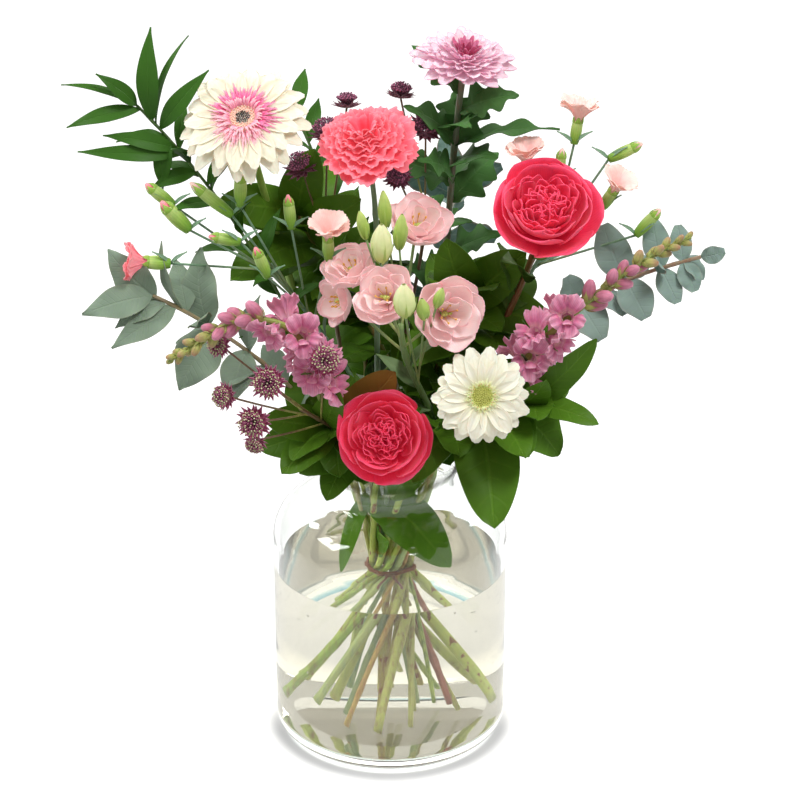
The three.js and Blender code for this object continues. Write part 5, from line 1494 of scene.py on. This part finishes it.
class BOUQUET_OT_carnation(bpy.types.Operator):
    """Makes the coral carnation with its ruffled, toothed petals"""

    bl_idname = "bouquet.carnation"
    bl_label = "Carnation"

    def execute(self, context):
        """Builds the bloom, then its stem, calyx and narrow leaves."""
        coral = context.scene.bouquet_flowers.coral
        finish = petal_finish("coral_petal", 0xEE3E58, coral, 0xFF8090, 0xF04460, 0xFA7484, ribs=18,
                              rim=0.25, rim_color=0xFFB0B6)
        place, rng = head_place(STEMS["carnation"]), draws_for("carnation")
        bloom = Growth()
        count = 64
        for k in range(count):
            f = k / (count - 1)
            reach = (40 - 31 * f**0.9) * rng.uniform(0.9, 1.02)
            high = -7 + 24 * f**0.75 + rng.normal(0, 1.2)
            path = ((2 + 2 * (1 - f), -17), (reach * 0.25, -9 + 6 * f), (reach * 0.62, high - 1 + 3 * f),
                    (reach, high))
            half = 13 - 5.5 * f
            widths, ruffle = (1.2, half * 0.5, half * 1.15, half * 1.25), (3.6 - 0.6 * f, 2.2)
            petal(bloom, place, k * GOLDEN, path, widths, finish, rng, tip=0.16, teeth=(7, 0.055), cup=0.05,
                  ruffle=ruffle, grid=(12, 26), thick=0.35)
        bloom.piece("carnation_bloom", ["carnation_petals"])
        sage = stem_finish("sage_stem", 0x9FB070, 0x7E9C78, 0x93AC80, spots=0.1)
        blade = leaf_finish("sage_leaf", 0x5E8060, 0x8CA886, 0xA4BC98, 0x86A080, 0.55, 0.5, 0.3)
        growth = Growth()
        stem(growth, "carnation", sage, knots=5)
        depth = STEMS["carnation"]["depth"]
        line = [put(place, (0, 0, z)) for z in (-depth - 1, -depth + 2, -depth + 6, -depth + 12, -18, -15)]
        growth.tube(line, (1.9, 4.4, 5.4, 5.9, 6.6, 7.0), sage, 20)
        lips = ((6.2, -20), (7.6, -15), (9.4, -12))
        petal_ring(growth, place, 5, lips, (3.2, 2.6, 0.3), sage, rng, grid=(5, 4), wrap=0.9)
        stem_leaves(growth, "carnation", [(0.45, 48, 6), (0.7, 40, 5), (0.55, 44, 5)], blade, rng, fold=0.5)
        growth.piece("carnation_stalk", ["carnation_stem"])
        return {"FINISHED"}


class BOUQUET_OT_chrysanthemum(bpy.types.Operator):
    """Makes the chrysanthemum, whose pale petals have deep pink backs"""

    bl_idname = "bouquet.chrysanthemum"
    bl_label = "Chrysanthemum"

    def execute(self, context):
        """Builds the bloom, then its stem with lobed leaves."""
        pale = context.scene.bouquet_flowers.chrysanthemum
        finish = petal_finish("chrysanthemum_petal", 0xD680A6, pale, 0xF3E3E9, 0xE9AAC2, 0xE29ABB, ribs=5,
                              rim=0.3, rim_color=0xD06A98)
        deep = petal_finish("chrysanthemum_core", 0x7E1E3C, 0xB84470, 0xD880A4, 0x9A2C54, 0xA83660, ribs=5)
        place, rng = head_place(STEMS["chrysanthemum"]), draws_for("chrysanthemum")
        bloom = Growth()
        count, pale_share = 120, 0.84
        for k in range(count):
            f = k / (count - 1)
            reach = (3 + 36 * (1 - f) ** 0.72) * rng.uniform(0.84, 1.06)
            high = -6 + 19 * f**0.7 - 9 * max(0, f - 0.75) + rng.normal(0, 1.4)
            inner = 7 * (1 - f) + 1
            path = ((inner, -7 + 9 * f), (inner + reach * 0.3, -7 + 8 * f + 3),
                    (reach * 0.85, high - 4 + 2 * f), (reach, high + 1.5 * f))
            half = (6.2 - 4.2 * f**0.8) * rng.uniform(0.8, 1.2)
            widths = (half * 0.5, half * 0.9, half * 1.3, half * 0.8)
            look = deep if f > pale_share else finish
            petal(bloom, place, k * GOLDEN, path, widths, look, rng, tip=0.3, cup=0.4, ruffle=(1.0, 1),
                  grid=(10, 8))
        bloom.piece("chrysanthemum_bloom", ["chrysanthemum_petals"])
        wood = stem_finish("purple_stem", 0xB4BC64, 0x76806A, 0x8A6A5A, spots=0.3)
        lobes = leaf_finish("lobed_leaf", 0x12300C, 0x2C5A1C, 0x5E8A44, 0x4E7A40, 0.48, 6)
        growth, name = Growth(), "chrysanthemum"
        stem(growth, name, wood, knots=4, sides=20)
        line = [put(place, (0, 0, z)) for z in (-15, -13, -11, -9.5, -8)]
        growth.tube(line, (2.2, 4, 5.4, 6.6, 7.4), lobes, 20)
        shape = {"shape": lobed, "grid": (30, 10), "wave": 0.05}
        leaves_of(growth, name, CHRYSANTHEMUM_LEAVES, lobes, rng, arch=0.08, **shape)
        filler_leaves(growth, name, lobes, rng, 0.4, 0.95, 12, 48, 30, **shape)
        growth.piece("chrysanthemum_stalk", ["chrysanthemum_stem"])
        return {"FINISHED"}


class BOUQUET_OT_roses(bpy.types.Operator):
    """Makes the two red-pink roses: cupped outer petals round a dense, quartered heart"""

    bl_idname = "bouquet.roses"
    bl_label = "Roses"

    def execute(self, context):
        """Builds two blooms and their stems."""
        rose = context.scene.bouquet_flowers.rose
        finish = petal_finish("rose_petal", 0xB00A32, rose, 0xF24C70, 0xCC1846, 0xF6607E, ribs=22,
                              rim=0.15, rim_color=0xFA7090, rough=0.5)
        inner = petal_finish("rose_fold", 0xB40A30, 0xE0224C, 0xF0446A, 0xC01038, 0xEE486C, ribs=12,
                             rough=0.5)
        sepal = leaf_finish("rose_leaf", 0x1E3A0C, 0x3E661C, 0x7A7A40, 0x5A7E38, 0.45, 7)
        looks = {
            "rose_high": stem_finish("red_stem", 0x9CBC4C, 0x7A5A32, 0x8A4A2A, spots=0.3),
            "rose_low": stem_finish("rose_stem", 0xC0C866, 0x8CA644, 0x9AB058),
        }
        for k, (name, wood) in enumerate(looks.items()):
            place, rng = head_place(STEMS[name]), draws_for("roses", k)
            scale = STEMS[name]["depth"] / DRAWN_REACH["rose"]
            bloom = Growth()
            self.bloom(bloom, scaled(place, scale), finish, inner, rng)
            bloom.piece(name + "_bloom", [name + "_petals"])
            growth = Growth()
            stem(growth, name, wood, knots=5)
            self.sepals(growth, place, -19 * scale - SEAT, STEMS[name]["radius"], sepal, rng)
            if name == "rose_high":
                table = [(0.5, 46, 28), (0.62, 44, 28), (0.74, 42, 26), (0.84, 36, 22), (0.68, 40, 24)]
                stem_leaves(growth, name, table, sepal, rng, wave=0.05)
            growth.piece(name + "_stalk", [name + "_stem"])
        return {"FINISHED"}

    @staticmethod
    def bloom(growth, place, finish, inner, rng):
        """Guard petals, two rows of cupped petals, a heart of short crossing cups, then folds inside it."""
        rows = (
            (5, ((4, -19), (24, -21), (34, -10), (35, 1), (39, -1.5)), (4, 15, 29, 27, 13), 0.6),
            (5, ((4, -18), (20, -19), (32, -7), (30, 9), (34, 8)), (4, 15, 27, 25, 15), 0.75),
            (6, ((3, -17), (16, -17), (28, -5), (25.5, 11.5), (28.5, 11)), (4, 13, 21, 19, 11), 0.85),
        )
        for row, (count, path, widths, wrap) in enumerate(rows):
            for i in range(count):
                turn = TURN * (i + 0.5 * row) / count + rng.normal(0, 0.2)
                grown = rng.uniform(0.88, 1.06)
                jitter = [(r * grown * rng.uniform(0.97, 1.02), z + rng.normal(0, 1.4)) for r, z in path]
                tip = rng.uniform(0.04, 0.24)
                petal(growth, place, turn, jitter, widths, finish, rng, tip=tip, cup=0.1, wrap=wrap,
                      ruffle=(1.5, 1.0), grid=(16, 16), thick=0.5)
        cups = 46
        for k in range(cups):
            f = k / (cups - 1)
            reach = (24.5 - 18 * f**0.9) * rng.uniform(0.86, 1.04)
            high = 12.5 - 2 * f + rng.normal(0, 1.3)
            half = 11.5 - 6 * f
            path = ((1.5, -14), (reach * 0.8, -12), (reach + 1.5 - f, high - 8), (reach + 1.2, high))
            widths = (half * 0.3, half * 0.8, half, half * 0.7)
            turn, tip, wrap = k * GOLDEN + rng.normal(0, 0.3), rng.uniform(0.1, 0.4), rng.uniform(0.1, 0.9)
            petal(growth, place, turn, path, widths, inner, rng, tip=tip, cup=0.1, wrap=wrap,
                  ruffle=(1.7, 1.4), grid=(10, 12), thick=0.6)
        share = np.linspace(-1, 1, 21)[None, :]
        u = np.linspace(0, 1, 8)[:, None]
        folds = 24
        for k in range(folds):
            f = (k + 0.5) / folds
            a, at = k * GOLDEN, 1 + 9 * math.sqrt(f)
            way = a + rng.normal(0, 0.55)
            wave = rng.uniform(0.4, 1.0) * np.sin(share * rng.uniform(2, 6) + rng.uniform(0, 6.3))
            ahead = share * (rng.uniform(3.0, 5.0) + 1.5 * f)
            aside = rng.uniform(-3.0, 3.0) * (1 - share**2) + wave * u
            spread = 0.86 + 0.14 * u
            x = (at * math.cos(a) + ahead * math.cos(way) - aside * math.sin(way)) * spread
            y = (at * math.sin(a) + ahead * math.sin(way) + aside * math.cos(way)) * spread
            z = -3 + u * (17 - 4 * f + rng.normal(0, 1.2) - 2.4 * share**2 + 0.6 * wave)
            growth.blade(put(place, np.stack((x, y, z), axis=-1)), inner, float(rng.uniform()), 0.7)

    @staticmethod
    def sepals(growth, place, seat, radius, finish, rng):
        """The hip under a rose and five sepals that hang from it."""
        line = [put(place, (0, 0, seat + z)) for z in (-8, -6.5, -5, -3, -1.2, 0)]
        growth.tube(line, (radius * 0.8, 3.6, 5, 5.4, 5, 4.6), finish, 16)
        path = ((4.2, seat - 1.2), (10, seat - 1), (14, seat - 5), (15.5, seat - 13))
        widths = (2.6, 3.6, 1.8, 0.3)
        petal_ring(growth, place, 5, path, widths, finish, rng, tip=0.1, cup=0.2, grid=(10, 4))


class BOUQUET_OT_lisianthus(bpy.types.Operator):
    """Makes the lisianthus: pale pink cups with wavy edges, twisted buds and grey-green stems"""

    bl_idname = "bouquet.lisianthus"
    bl_label = "Lisianthus"

    def execute(self, context):
        """Builds five blooms, then the branched stem with its buds and leaves."""
        pale = context.scene.bouquet_flowers.lisianthus
        finish = petal_finish("lisianthus_petal", 0xB83A54, pale, 0xFAE6E3, 0xF4B8BE, 0xF6CCCC, 0.25, 20,
                              rim=0.45, rim_color=0xEE94A4)
        yellow = grain_finish("yellow_anther", 0xD8882A, 0xF4C860)
        lime = grain_finish("lime_stigma", 0x9DB040, 0xD0DC80, rough=0.5)
        for k, (name, (at, faces, radius)) in enumerate(LISIANTHUS_BLOOMS.items()):
            bloom, rng = Growth(), draws_for("lisianthus", k)
            place = scaled(facing(at, faces), radius / DRAWN_REACH["lisianthus"])
            self.bloom(bloom, place, finish, yellow, lime, rng, full=name in "abcd")
            bloom.piece("lisianthus_cup_" + name, ["lisianthus_bloom_" + name])
        self.spray()
        return {"FINISHED"}

    @staticmethod
    def bloom(growth, place, finish, yellow, lime, rng, full):
        """Overlapping wavy petals round a few stamens and a forked stigma."""
        rows = [
            (5, ((2, -14.5), (13, -15), (21, -5), (23.5, 4)), (2.5, 11, 20, 12)),
            (4, ((2, -14), (10, -14), (17, -4), (18.5, 7)), (2.5, 10, 18, 11)),
        ]
        if full:
            rows += [(3, ((2, -13), (7, -12), (13, -1), (13, 8)), (2, 9, 14, 9)),
                     (2, ((1, -12), (4, -9), (8, 0), (7.5, 7)), (2, 6, 10, 6))]
        for row, (count, path, widths) in enumerate(rows):
            for i in range(count):
                turn = TURN * (i + 0.5 * row) / count + rng.normal(0, 0.15)
                jitter = [(r * rng.uniform(0.92, 1.04), z + rng.normal(0, 0.8)) for r, z in path]
                petal(growth, place, turn, jitter, widths, finish, rng, tip=rng.uniform(0.1, 0.3), cup=0.06,
                      wrap=0.85, ruffle=(1.9, 1.3), teeth=(9, 0.02), grid=(14, 22), thick=0.4)
        at, (_, _, ahead) = place
        stamens = 6
        for i in range(stamens):
            a = TURN * i / stamens + 0.3
            foot, head = put(place, (0, 0, -12)), put(place, (5.5 * math.cos(a), 5.5 * math.sin(a), -1))
            stalk(growth, foot, head, 0.3, yellow, sides=5, count=4)
            growth.bead(head, ahead, 2.6, 0.8, yellow, 6)
        growth.bead(put(place, (0, 0, -13)), ahead, 9, 2.2, lime, 10)
        for side in (-1, 1):
            fork = put(place, (2 * side, 0, 0)) - at
            growth.bead(put(place, (0.8 * side, 0, -4.5)), fork, 3, 1.1, lime, 8)

    @staticmethod
    def spray():
        """The branched stem with its buds and leaves."""
        a_stem = bundle()["lisianthus"]
        sage = stem_finish("lisianthus_green", 0xB9C67A, 0x7FA060, 0x96B07A, spots=0.1)
        cream = petal_finish("cream_bud", 0xB4C860, 0xDCE6A0, 0xF2EFC4, 0xB8CC70, 0xD8E098, ribs=8)
        green = petal_finish("green_bud", 0x7E9C3C, 0xA4BE58, 0xC6D67E, 0x88A848, 0xA8BE60, ribs=8)
        blade = leaf_finish("sage_broad_leaf", 0x50743E, 0x86A468, 0xA8BE88, 0x84A070, 0.5, 2)
        growth, rng = Growth(), draws_for("lisianthus spray")
        stem(growth, "lisianthus", sage, knots=4)
        sepals = ((1, -SEAT), (4, 3), (5.5, 9))
        for i, (at, faces, radius) in enumerate(LISIANTHUS_BLOOMS.values()):
            way = unit(faces)
            end = np.asarray(at, float) - way * (15 * radius / DRAWN_REACH["lisianthus"] + SEAT)
            stalk(growth, branch_root(a_stem, i), end, 1.1, sage, sag=-3)
            place = facing(end, way)
            petal_ring(growth, place, 5, sepals, (0.8, 1.1, 0.15), green, rng, grid=(6, 3), thick=0.3)
        for i, (low, top, radius) in enumerate(LISIANTHUS_BUDS):
            low, top = np.asarray(low, float), np.asarray(top, float)
            stalk(growth, free_curve(a_stem, 0.6 + 0.03 * i), low, 0.8, sage)
            BOUQUET_OT_lisianthus.bud(growth, low, top, radius, cream if radius > 5 else green, green, rng)
        table = [(0.3, 46, 14), (0.45, 44, 14), (0.75, 38, 11), (0.6, 40, 12)]
        stem_leaves(growth, "lisianthus", table, blade, rng, fold=0.3)
        growth.piece("lisianthus_branches", ["lisianthus_stem"])

    @staticmethod
    def bud(growth, low, top, radius, finish, calyx, rng):
        """A bud whose petals are wound round each other, with five thin sepals."""
        length = np.linalg.norm(top - low)
        place = facing(low, top - low)
        share = np.linspace(0, 1, 22)[:, None]
        angles = np.linspace(0, TURN, 24, endpoint=False)[None, :]
        edges, twist = 2.5, 2.2
        fold = 1 + 0.13 * np.abs(np.sin(edges * (angles + twist * share)))
        r = radius * np.sin(math.pi * (0.06 + 0.9 * share) ** 0.85) ** 0.8 * fold * 0.92
        points = np.stack((r * np.cos(angles), r * np.sin(angles), length * share + 0 * r), axis=-1)
        growth.grid(put(place, points), finish, share, angles / TURN, float(rng.uniform()), wrap=True)
        path = ((radius * 0.35, -1), (radius * 1.15, length * 0.2), (radius * 1.05, length * 0.6))
        petal_ring(growth, place, 5, path, (0.9, 1.2, 0.15), calyx, rng, grid=(8, 3), thick=0.3)


class BOUQUET_OT_snapdragons(bpy.types.Operator):
    """Makes the two snapdragon spikes: two-lipped florets low down and tight buds at the tip"""

    bl_idname = "bouquet.snapdragons"
    bl_label = "Snapdragons"

    def execute(self, context):
        """Builds both spikes on their stems."""
        mauve = context.scene.bouquet_flowers.snapdragon
        looks = {
            "open": petal_finish("snapdragon_petal", 0xECCDBE, mauve, 0xE2A4BA, 0x8E2C5C, 0xCE84A0,
                                 0.45, 12, rim=0.25, rim_color=0xEAB8C8),
            "pink": petal_finish("snapdragon_bud", 0x8E9A48, 0xB86A80, 0xD48CA4, 0x7A3A50, 0xB4707E,
                                 0.4, 8),
            "green": petal_finish("snapdragon_green_bud", 0x7A8C38, 0xA4AC5C, 0xB08A6C, 0x6E4A3C, 0x94A050,
                                  0.4, 8),
            "olive": stem_finish("olive_stem", 0xBAC468, 0x7E8E40, 0x93A057, spots=0.3),
            "blade": leaf_finish("slim_leaf", 0x2E5018, 0x55803A, 0x86A460, 0x6A8E48, veins=4),
        }
        for k, (name, line) in enumerate(SPIKES.items()):
            growth = Growth()
            stem(growth, name, looks["olive"], sides=14)
            self.spike(growth, STEMS[name]["head"], line, looks, draws_for("snapdragons", k))
            growth.piece(name + "_spike", [name])
        return {"FINISHED"}

    @staticmethod
    def spike(growth, start, line, looks, rng):
        """The flowering end of a stem: open florets low down, then buds, and a few leaves."""
        florets, buds, pink_until, around = 8, 20, 0.72, (0.3, 1, 0.2)
        way = smooth_line(np.vstack(([start], line)), 14)
        growth.tube(way, np.linspace(3.1, 1.0, len(way)), looks["olive"], 12)
        for i in range(florets + buds):
            opened = i < florets
            t = 0.03 + 0.47 * i / florets if opened else 0.5 + 0.5 * (i - florets) / buds
            k = min(len(way) - 2, int(t * (len(way) - 1)))
            at, along = way[k], unit(way[k + 1] - way[k - 1 if k else 0])
            out = sideways(along, around, i * GOLDEN)
            if opened:
                out = unit(out + (0, -0.25, 0.1))
                floret = scaled(facing(at, unit(out + 0.45 * along)), 1.15 - 0.3 * t)
                BOUQUET_OT_snapdragons.floret(growth, floret, looks["open"], looks["olive"], rng)
            else:
                size = 1.5 - 1.15 * t
                lean = unit(out + (0.7 + 0.8 * t) * along)
                look = looks["pink" if t < pink_until else "green"]
                growth.bead(at + lean, lean, 17 * size, 5.2 * size, look, 12, float(rng.uniform()), 10)
                path = ((0.8, 0), (5.4 * size, 1.5), (5.6 * size, 9.5 * size))
                petal_ring(growth, facing(at, lean), 4, path, (1.0, 3.2 * size, 0.3), looks["green"], rng,
                           grid=(6, 4), wrap=0.8, thick=0.3)
        for i in range(5):
            k = 2 + 3 * i
            along = unit(way[k + 1] - way[k])
            tip = way[k] + unit(sideways(along, around, i * GOLDEN + 2) + along) * 26
            leaf(growth, way[k], tip, 6, along, looks["blade"], rng, grid=(10, 4))

    @staticmethod
    def floret(growth, place, finish, calyx, rng):
        """A tube that opens into two upper and three lower ruffled lobes."""
        share = np.linspace(0, 1, 6)
        line = [put(place, (0, 0, 0.5 + 11 * s)) for s in share]
        growth.tube(line, 2.2 + 2.4 * share**0.7, finish, 14, float(rng.uniform()), cap=False)
        lobes = [(60, 1.0, 20), (120, 1.0, 20), (205, 0.85, 15), (270, 1.0, 13), (335, 0.85, 15)]
        for angle, size, high in lobes:
            path = ((3.4, 7), (4.5, 13), (9 * size, high - 1), (15 * size, high - 2))
            petal(growth, place, math.radians(angle), path, (2.4, 4.5, 8.0 * size, 6.5 * size), finish, rng,
                  tip=0.22, cup=-0.1, ruffle=(3.0, 2.4), grid=(10, 14), thick=0.35)
        path = ((1.5, 8), (2.5, 13), (6, 15.5))
        petal(growth, place, math.radians(270), path, (2.5, 3.6, 3.0), finish, rng, cup=-0.5, grid=(6, 8))
        path = ((0.9, 0), (3.6, 1.5), (3.8, 5.5))
        petal_ring(growth, place, 5, path, (0.8, 1.6, 0.2), calyx, rng, grid=(5, 3), thick=0.3)


class BOUQUET_OT_astrantias(bpy.types.Operator):
    """Makes the astrantias: a ruff of pointed bracts round a pincushion of tiny florets"""

    bl_idname = "bouquet.astrantias"
    bl_label = "Astrantias"

    def execute(self, context):
        """Builds three branched stems with their heads."""
        wine = context.scene.bouquet_flowers.astrantia
        near = petal_finish("wine_bract", 0xC8B49A, wine, 0xAE5078, 0x6E2444, 0xB87A90, 0.5, 6)
        far = petal_finish("plum_bract", 0x7A4A54, 0x5C2438, 0x743250, 0x3A1020, 0x80505E, 0.5, 6)
        pale = grain_finish("pale_floret", 0xA8A070, 0xDCDCB0)
        plum = grain_finish("plum_floret", 0x3A1426, 0x84506A)
        dark = grain_finish("wine_floret", 0x7A2A50, 0xBC6A8C)
        thin = stem_finish("thin_stem", 0xB8C068, 0x7A6A4A, 0x7A4A44, spots=0.2)
        for k, (name, heads) in enumerate(ASTRANTIA.items()):
            growth, rng = Growth(), draws_for("astrantias", k)
            looks = (near, pale, dark) if name == "astrantia_front" else (far, dark, plum)
            stem(growth, name, thin, knots=5, sides=10)
            for i, (at, faces, radius) in enumerate(heads):
                root = branch_root(bundle()[name], i, 0.04)
                stalk(growth, root, np.asarray(at, float) - 2 * unit(faces), 0.75, thin, sag=-2)
                place = scaled(facing(at, faces), radius / DRAWN_REACH["astrantia"])
                self.head(growth, place, *looks, rng)
            growth.piece(name + "_heads", [name])
        return {"FINISHED"}

    @staticmethod
    def head(growth, place, bract, pale, dark, rng):
        """One head: two rows of bracts, then fine stalks that each carry a tiny floret."""
        bracts = 11
        for row in range(2):
            for i in range(bracts):
                turn = TURN * (i + 0.5 * row) / bracts + rng.normal(0, 0.06)
                reach = (14.5 - 1.5 * row) * rng.uniform(0.92, 1.04)
                tip = (reach, 1.2 + 1.5 * row + rng.normal(0, 0.6))
                path = ((1.5, -3), (6, -2.5 + row), (10, -0.5 + row), tip)
                petal(growth, place, turn, path, (1.0, 2.4, 2.6, 0.15), bract, rng, tip=0.3, cup=0.25,
                      crease=0.2, grid=(9, 4), thick=0.3)
        florets = 150
        for k in range(florets):
            lean, angle = 1.6 * math.sqrt((k + 0.5) / florets), k * GOLDEN
            way = unit((lean * math.cos(angle), lean * math.sin(angle), 1.0))
            low, top = put(place, (0, 0, -2)), put(place, way * rng.uniform(8.0, 10.8))
            growth.tube((low, (low + top) / 2, top), 0.22, dark, 4)
            growth.bead(top, top - low, 1.3, 0.6, dark if k % 2 else pale, 6, float(rng.uniform()), 5)


class BOUQUET_OT_dianthus(bpy.types.Operator):
    """Makes the spray pinks: green calyxes with fan-shaped flowers or closed buds"""

    bl_idname = "bouquet.dianthus"
    bl_label = "Spray Pinks"

    def execute(self, context):
        """Builds both sprays."""
        salmon = context.scene.bouquet_flowers.salmon
        pink_fan = petal_finish("pink_fan", 0xF26A84, 0xFF8696, 0xFFA2A8, 0xE04A6C, 0xFF98A0, ribs=12)
        salmon_fan = petal_finish("salmon_fan", 0xEE9E92, salmon, 0xFCDCD2, 0xE88A80, 0xF8CCC0, ribs=12)
        calyx = petal_finish("green_calyx", 0x6A9A2E, 0x8FB548, 0xC2D684, 0x5A8A2A, 0x8FB548, 0.35, 16,
                             rough=0.5)
        sage = stem_finish("pink_spray_stem", 0x9CB078, 0x84A888, 0x6E9470, spots=0.05)
        blade = leaf_finish("thin_sage_leaf", 0x5E8468, 0x88A88C, 0x9CB89C, 0x84A486, 0.5, 0.5, 0.3)
        table = [(0.35, 46, 6), (0.65, 42, 6), (0.5, 44, 5), (0.8, 36, 5)]
        for k, (name, heads) in enumerate(DIANTHUS.items()):
            growth, rng = Growth(), draws_for("dianthus", k)
            stem(growth, name, sage, knots=6, sides=12)
            stem_leaves(growth, name, table, blade, rng, fold=0.5)
            for i, (low, top, radius, opened) in enumerate(heads):
                low, top = np.asarray(low, float), np.asarray(top, float)
                stalk(growth, branch_root(bundle()[name], i), low, 0.85, sage)
                paler = name == "dianthus_right" or i in (3, len(heads) - 1)
                look = salmon_fan if paler else pink_fan
                self.calyx(growth, low, top, radius, opened, calyx, look, rng)
                for side in (-1, 1):
                    tip = low + unit((side * 0.8, -0.3, 0.7)) * 17
                    leaf(growth, low, tip, 3, (0, -0.6, 0.8), blade, rng, grid=(8, 4), fold=0.4)
            growth.piece(name + "_spray", [name])
        return {"FINISHED"}

    @staticmethod
    def calyx(growth, low, top, radius, opened, green, fan, rng):
        """A cylindrical calyx with toothed lips, and its flower or its closed petals."""
        length = np.linalg.norm(top - low)
        place = facing(low, top - low)
        share = np.linspace(0, 1, 12)
        belly = radius * (0.45 + 0.55 * np.sin(math.pi * np.minimum(1, 0.1 + 0.62 * share) ** 0.9))
        line = [put(place, (0, 0, length * 0.82 * s)) for s in share]
        growth.tube(line, belly, green, 16, float(rng.uniform()), cap=opened == 0)
        wide, lip = radius * 0.9, 0.9 if opened else 0.35
        path = ((wide, length * 0.74), (wide * 1.1, length * 0.86), (wide * lip, length))
        petal_ring(growth, place, 5, path, (wide * 0.6, wide * 0.5, 0.2), green, rng, grid=(7, 5), wrap=1.0,
                   thick=0.35)
        growth.bead(put(place, (0, 0, length * 0.6)), top - low, length * 0.44, radius * 0.62, fan, 12)
        if not opened:
            return
        count = 9
        for i in range(count):
            reach = opened * rng.uniform(0.82, 1.04)
            inner = 0 if i < 5 else 2.5
            high = length + 4.5 + rng.normal(0, 1.2) + inner
            path = ((0.8, length * 0.7), (reach * 0.2, length + 2), (reach * 0.5, high + 3),
                    (reach * 0.85, high + 4))
            petal(growth, place, i * GOLDEN, path, (0.8, 3, 8.5, 9.0), fan, rng, tip=0.2, teeth=(7, 0.05),
                  cup=0.1, ruffle=(1.6, 1.4), grid=(10, 20), thick=0.3)


# ---------------------------------------------------------------- the add-on
class BOUQUET_PT_panel(bpy.types.Panel):
    """Lists the bouquet's settings and steps"""

    bl_label = "Bouquet in a Bottle"
    bl_idname = "BOUQUET_PT_panel"
    bl_space_type = "VIEW_3D"
    bl_region_type = "UI"
    bl_category = "Bouquet"

    def draw(self, context):
        """Draws the settings, then a button for each step."""
        for name, _ in SETTINGS:
            group = getattr(context.scene, name)
            box = self.layout.box()
            for key in group.bl_rna.properties.keys():
                if key not in ("rna_type", "name"):
                    box.prop(group, key)
        for operator in OPERATORS:
            self.layout.operator(operator.bl_idname)


SETTINGS = (
    ("bouquet_stage", BouquetStage), ("bouquet_bottle", BouquetBottle),
    ("bouquet_flowers", BouquetFlowers), ("bouquet_foliage", BouquetFoliage),
)
OPERATORS = (
    BOUQUET_OT_stage, BOUQUET_OT_bottle, BOUQUET_OT_salal, BOUQUET_OT_eucalyptus, BOUQUET_OT_ruscus,
    BOUQUET_OT_gerberas, BOUQUET_OT_carnation, BOUQUET_OT_chrysanthemum, BOUQUET_OT_roses,
    BOUQUET_OT_lisianthus, BOUQUET_OT_snapdragons, BOUQUET_OT_astrantias, BOUQUET_OT_dianthus,
)


def register():
    """Registers the classes and joins the settings to the scene."""
    for name, group in SETTINGS:
        bpy.utils.register_class(group)
        setattr(bpy.types.Scene, name, PointerProperty(type=group))
    for made in (*OPERATORS, BOUQUET_PT_panel):
        bpy.utils.register_class(made)


def unregister():
    """Takes the classes and the settings out again."""
    for made in (BOUQUET_PT_panel, *reversed(OPERATORS)):
        bpy.utils.unregister_class(made)
    for name, group in reversed(SETTINGS):
        delattr(bpy.types.Scene, name)
        bpy.utils.unregister_class(group)


def main():
    """Registers the add-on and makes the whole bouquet."""
    register()
    for operator in OPERATORS:
        getattr(bpy.ops.bouquet, operator.bl_idname.split(".")[1])()


if __name__ == "__main__":
    main()
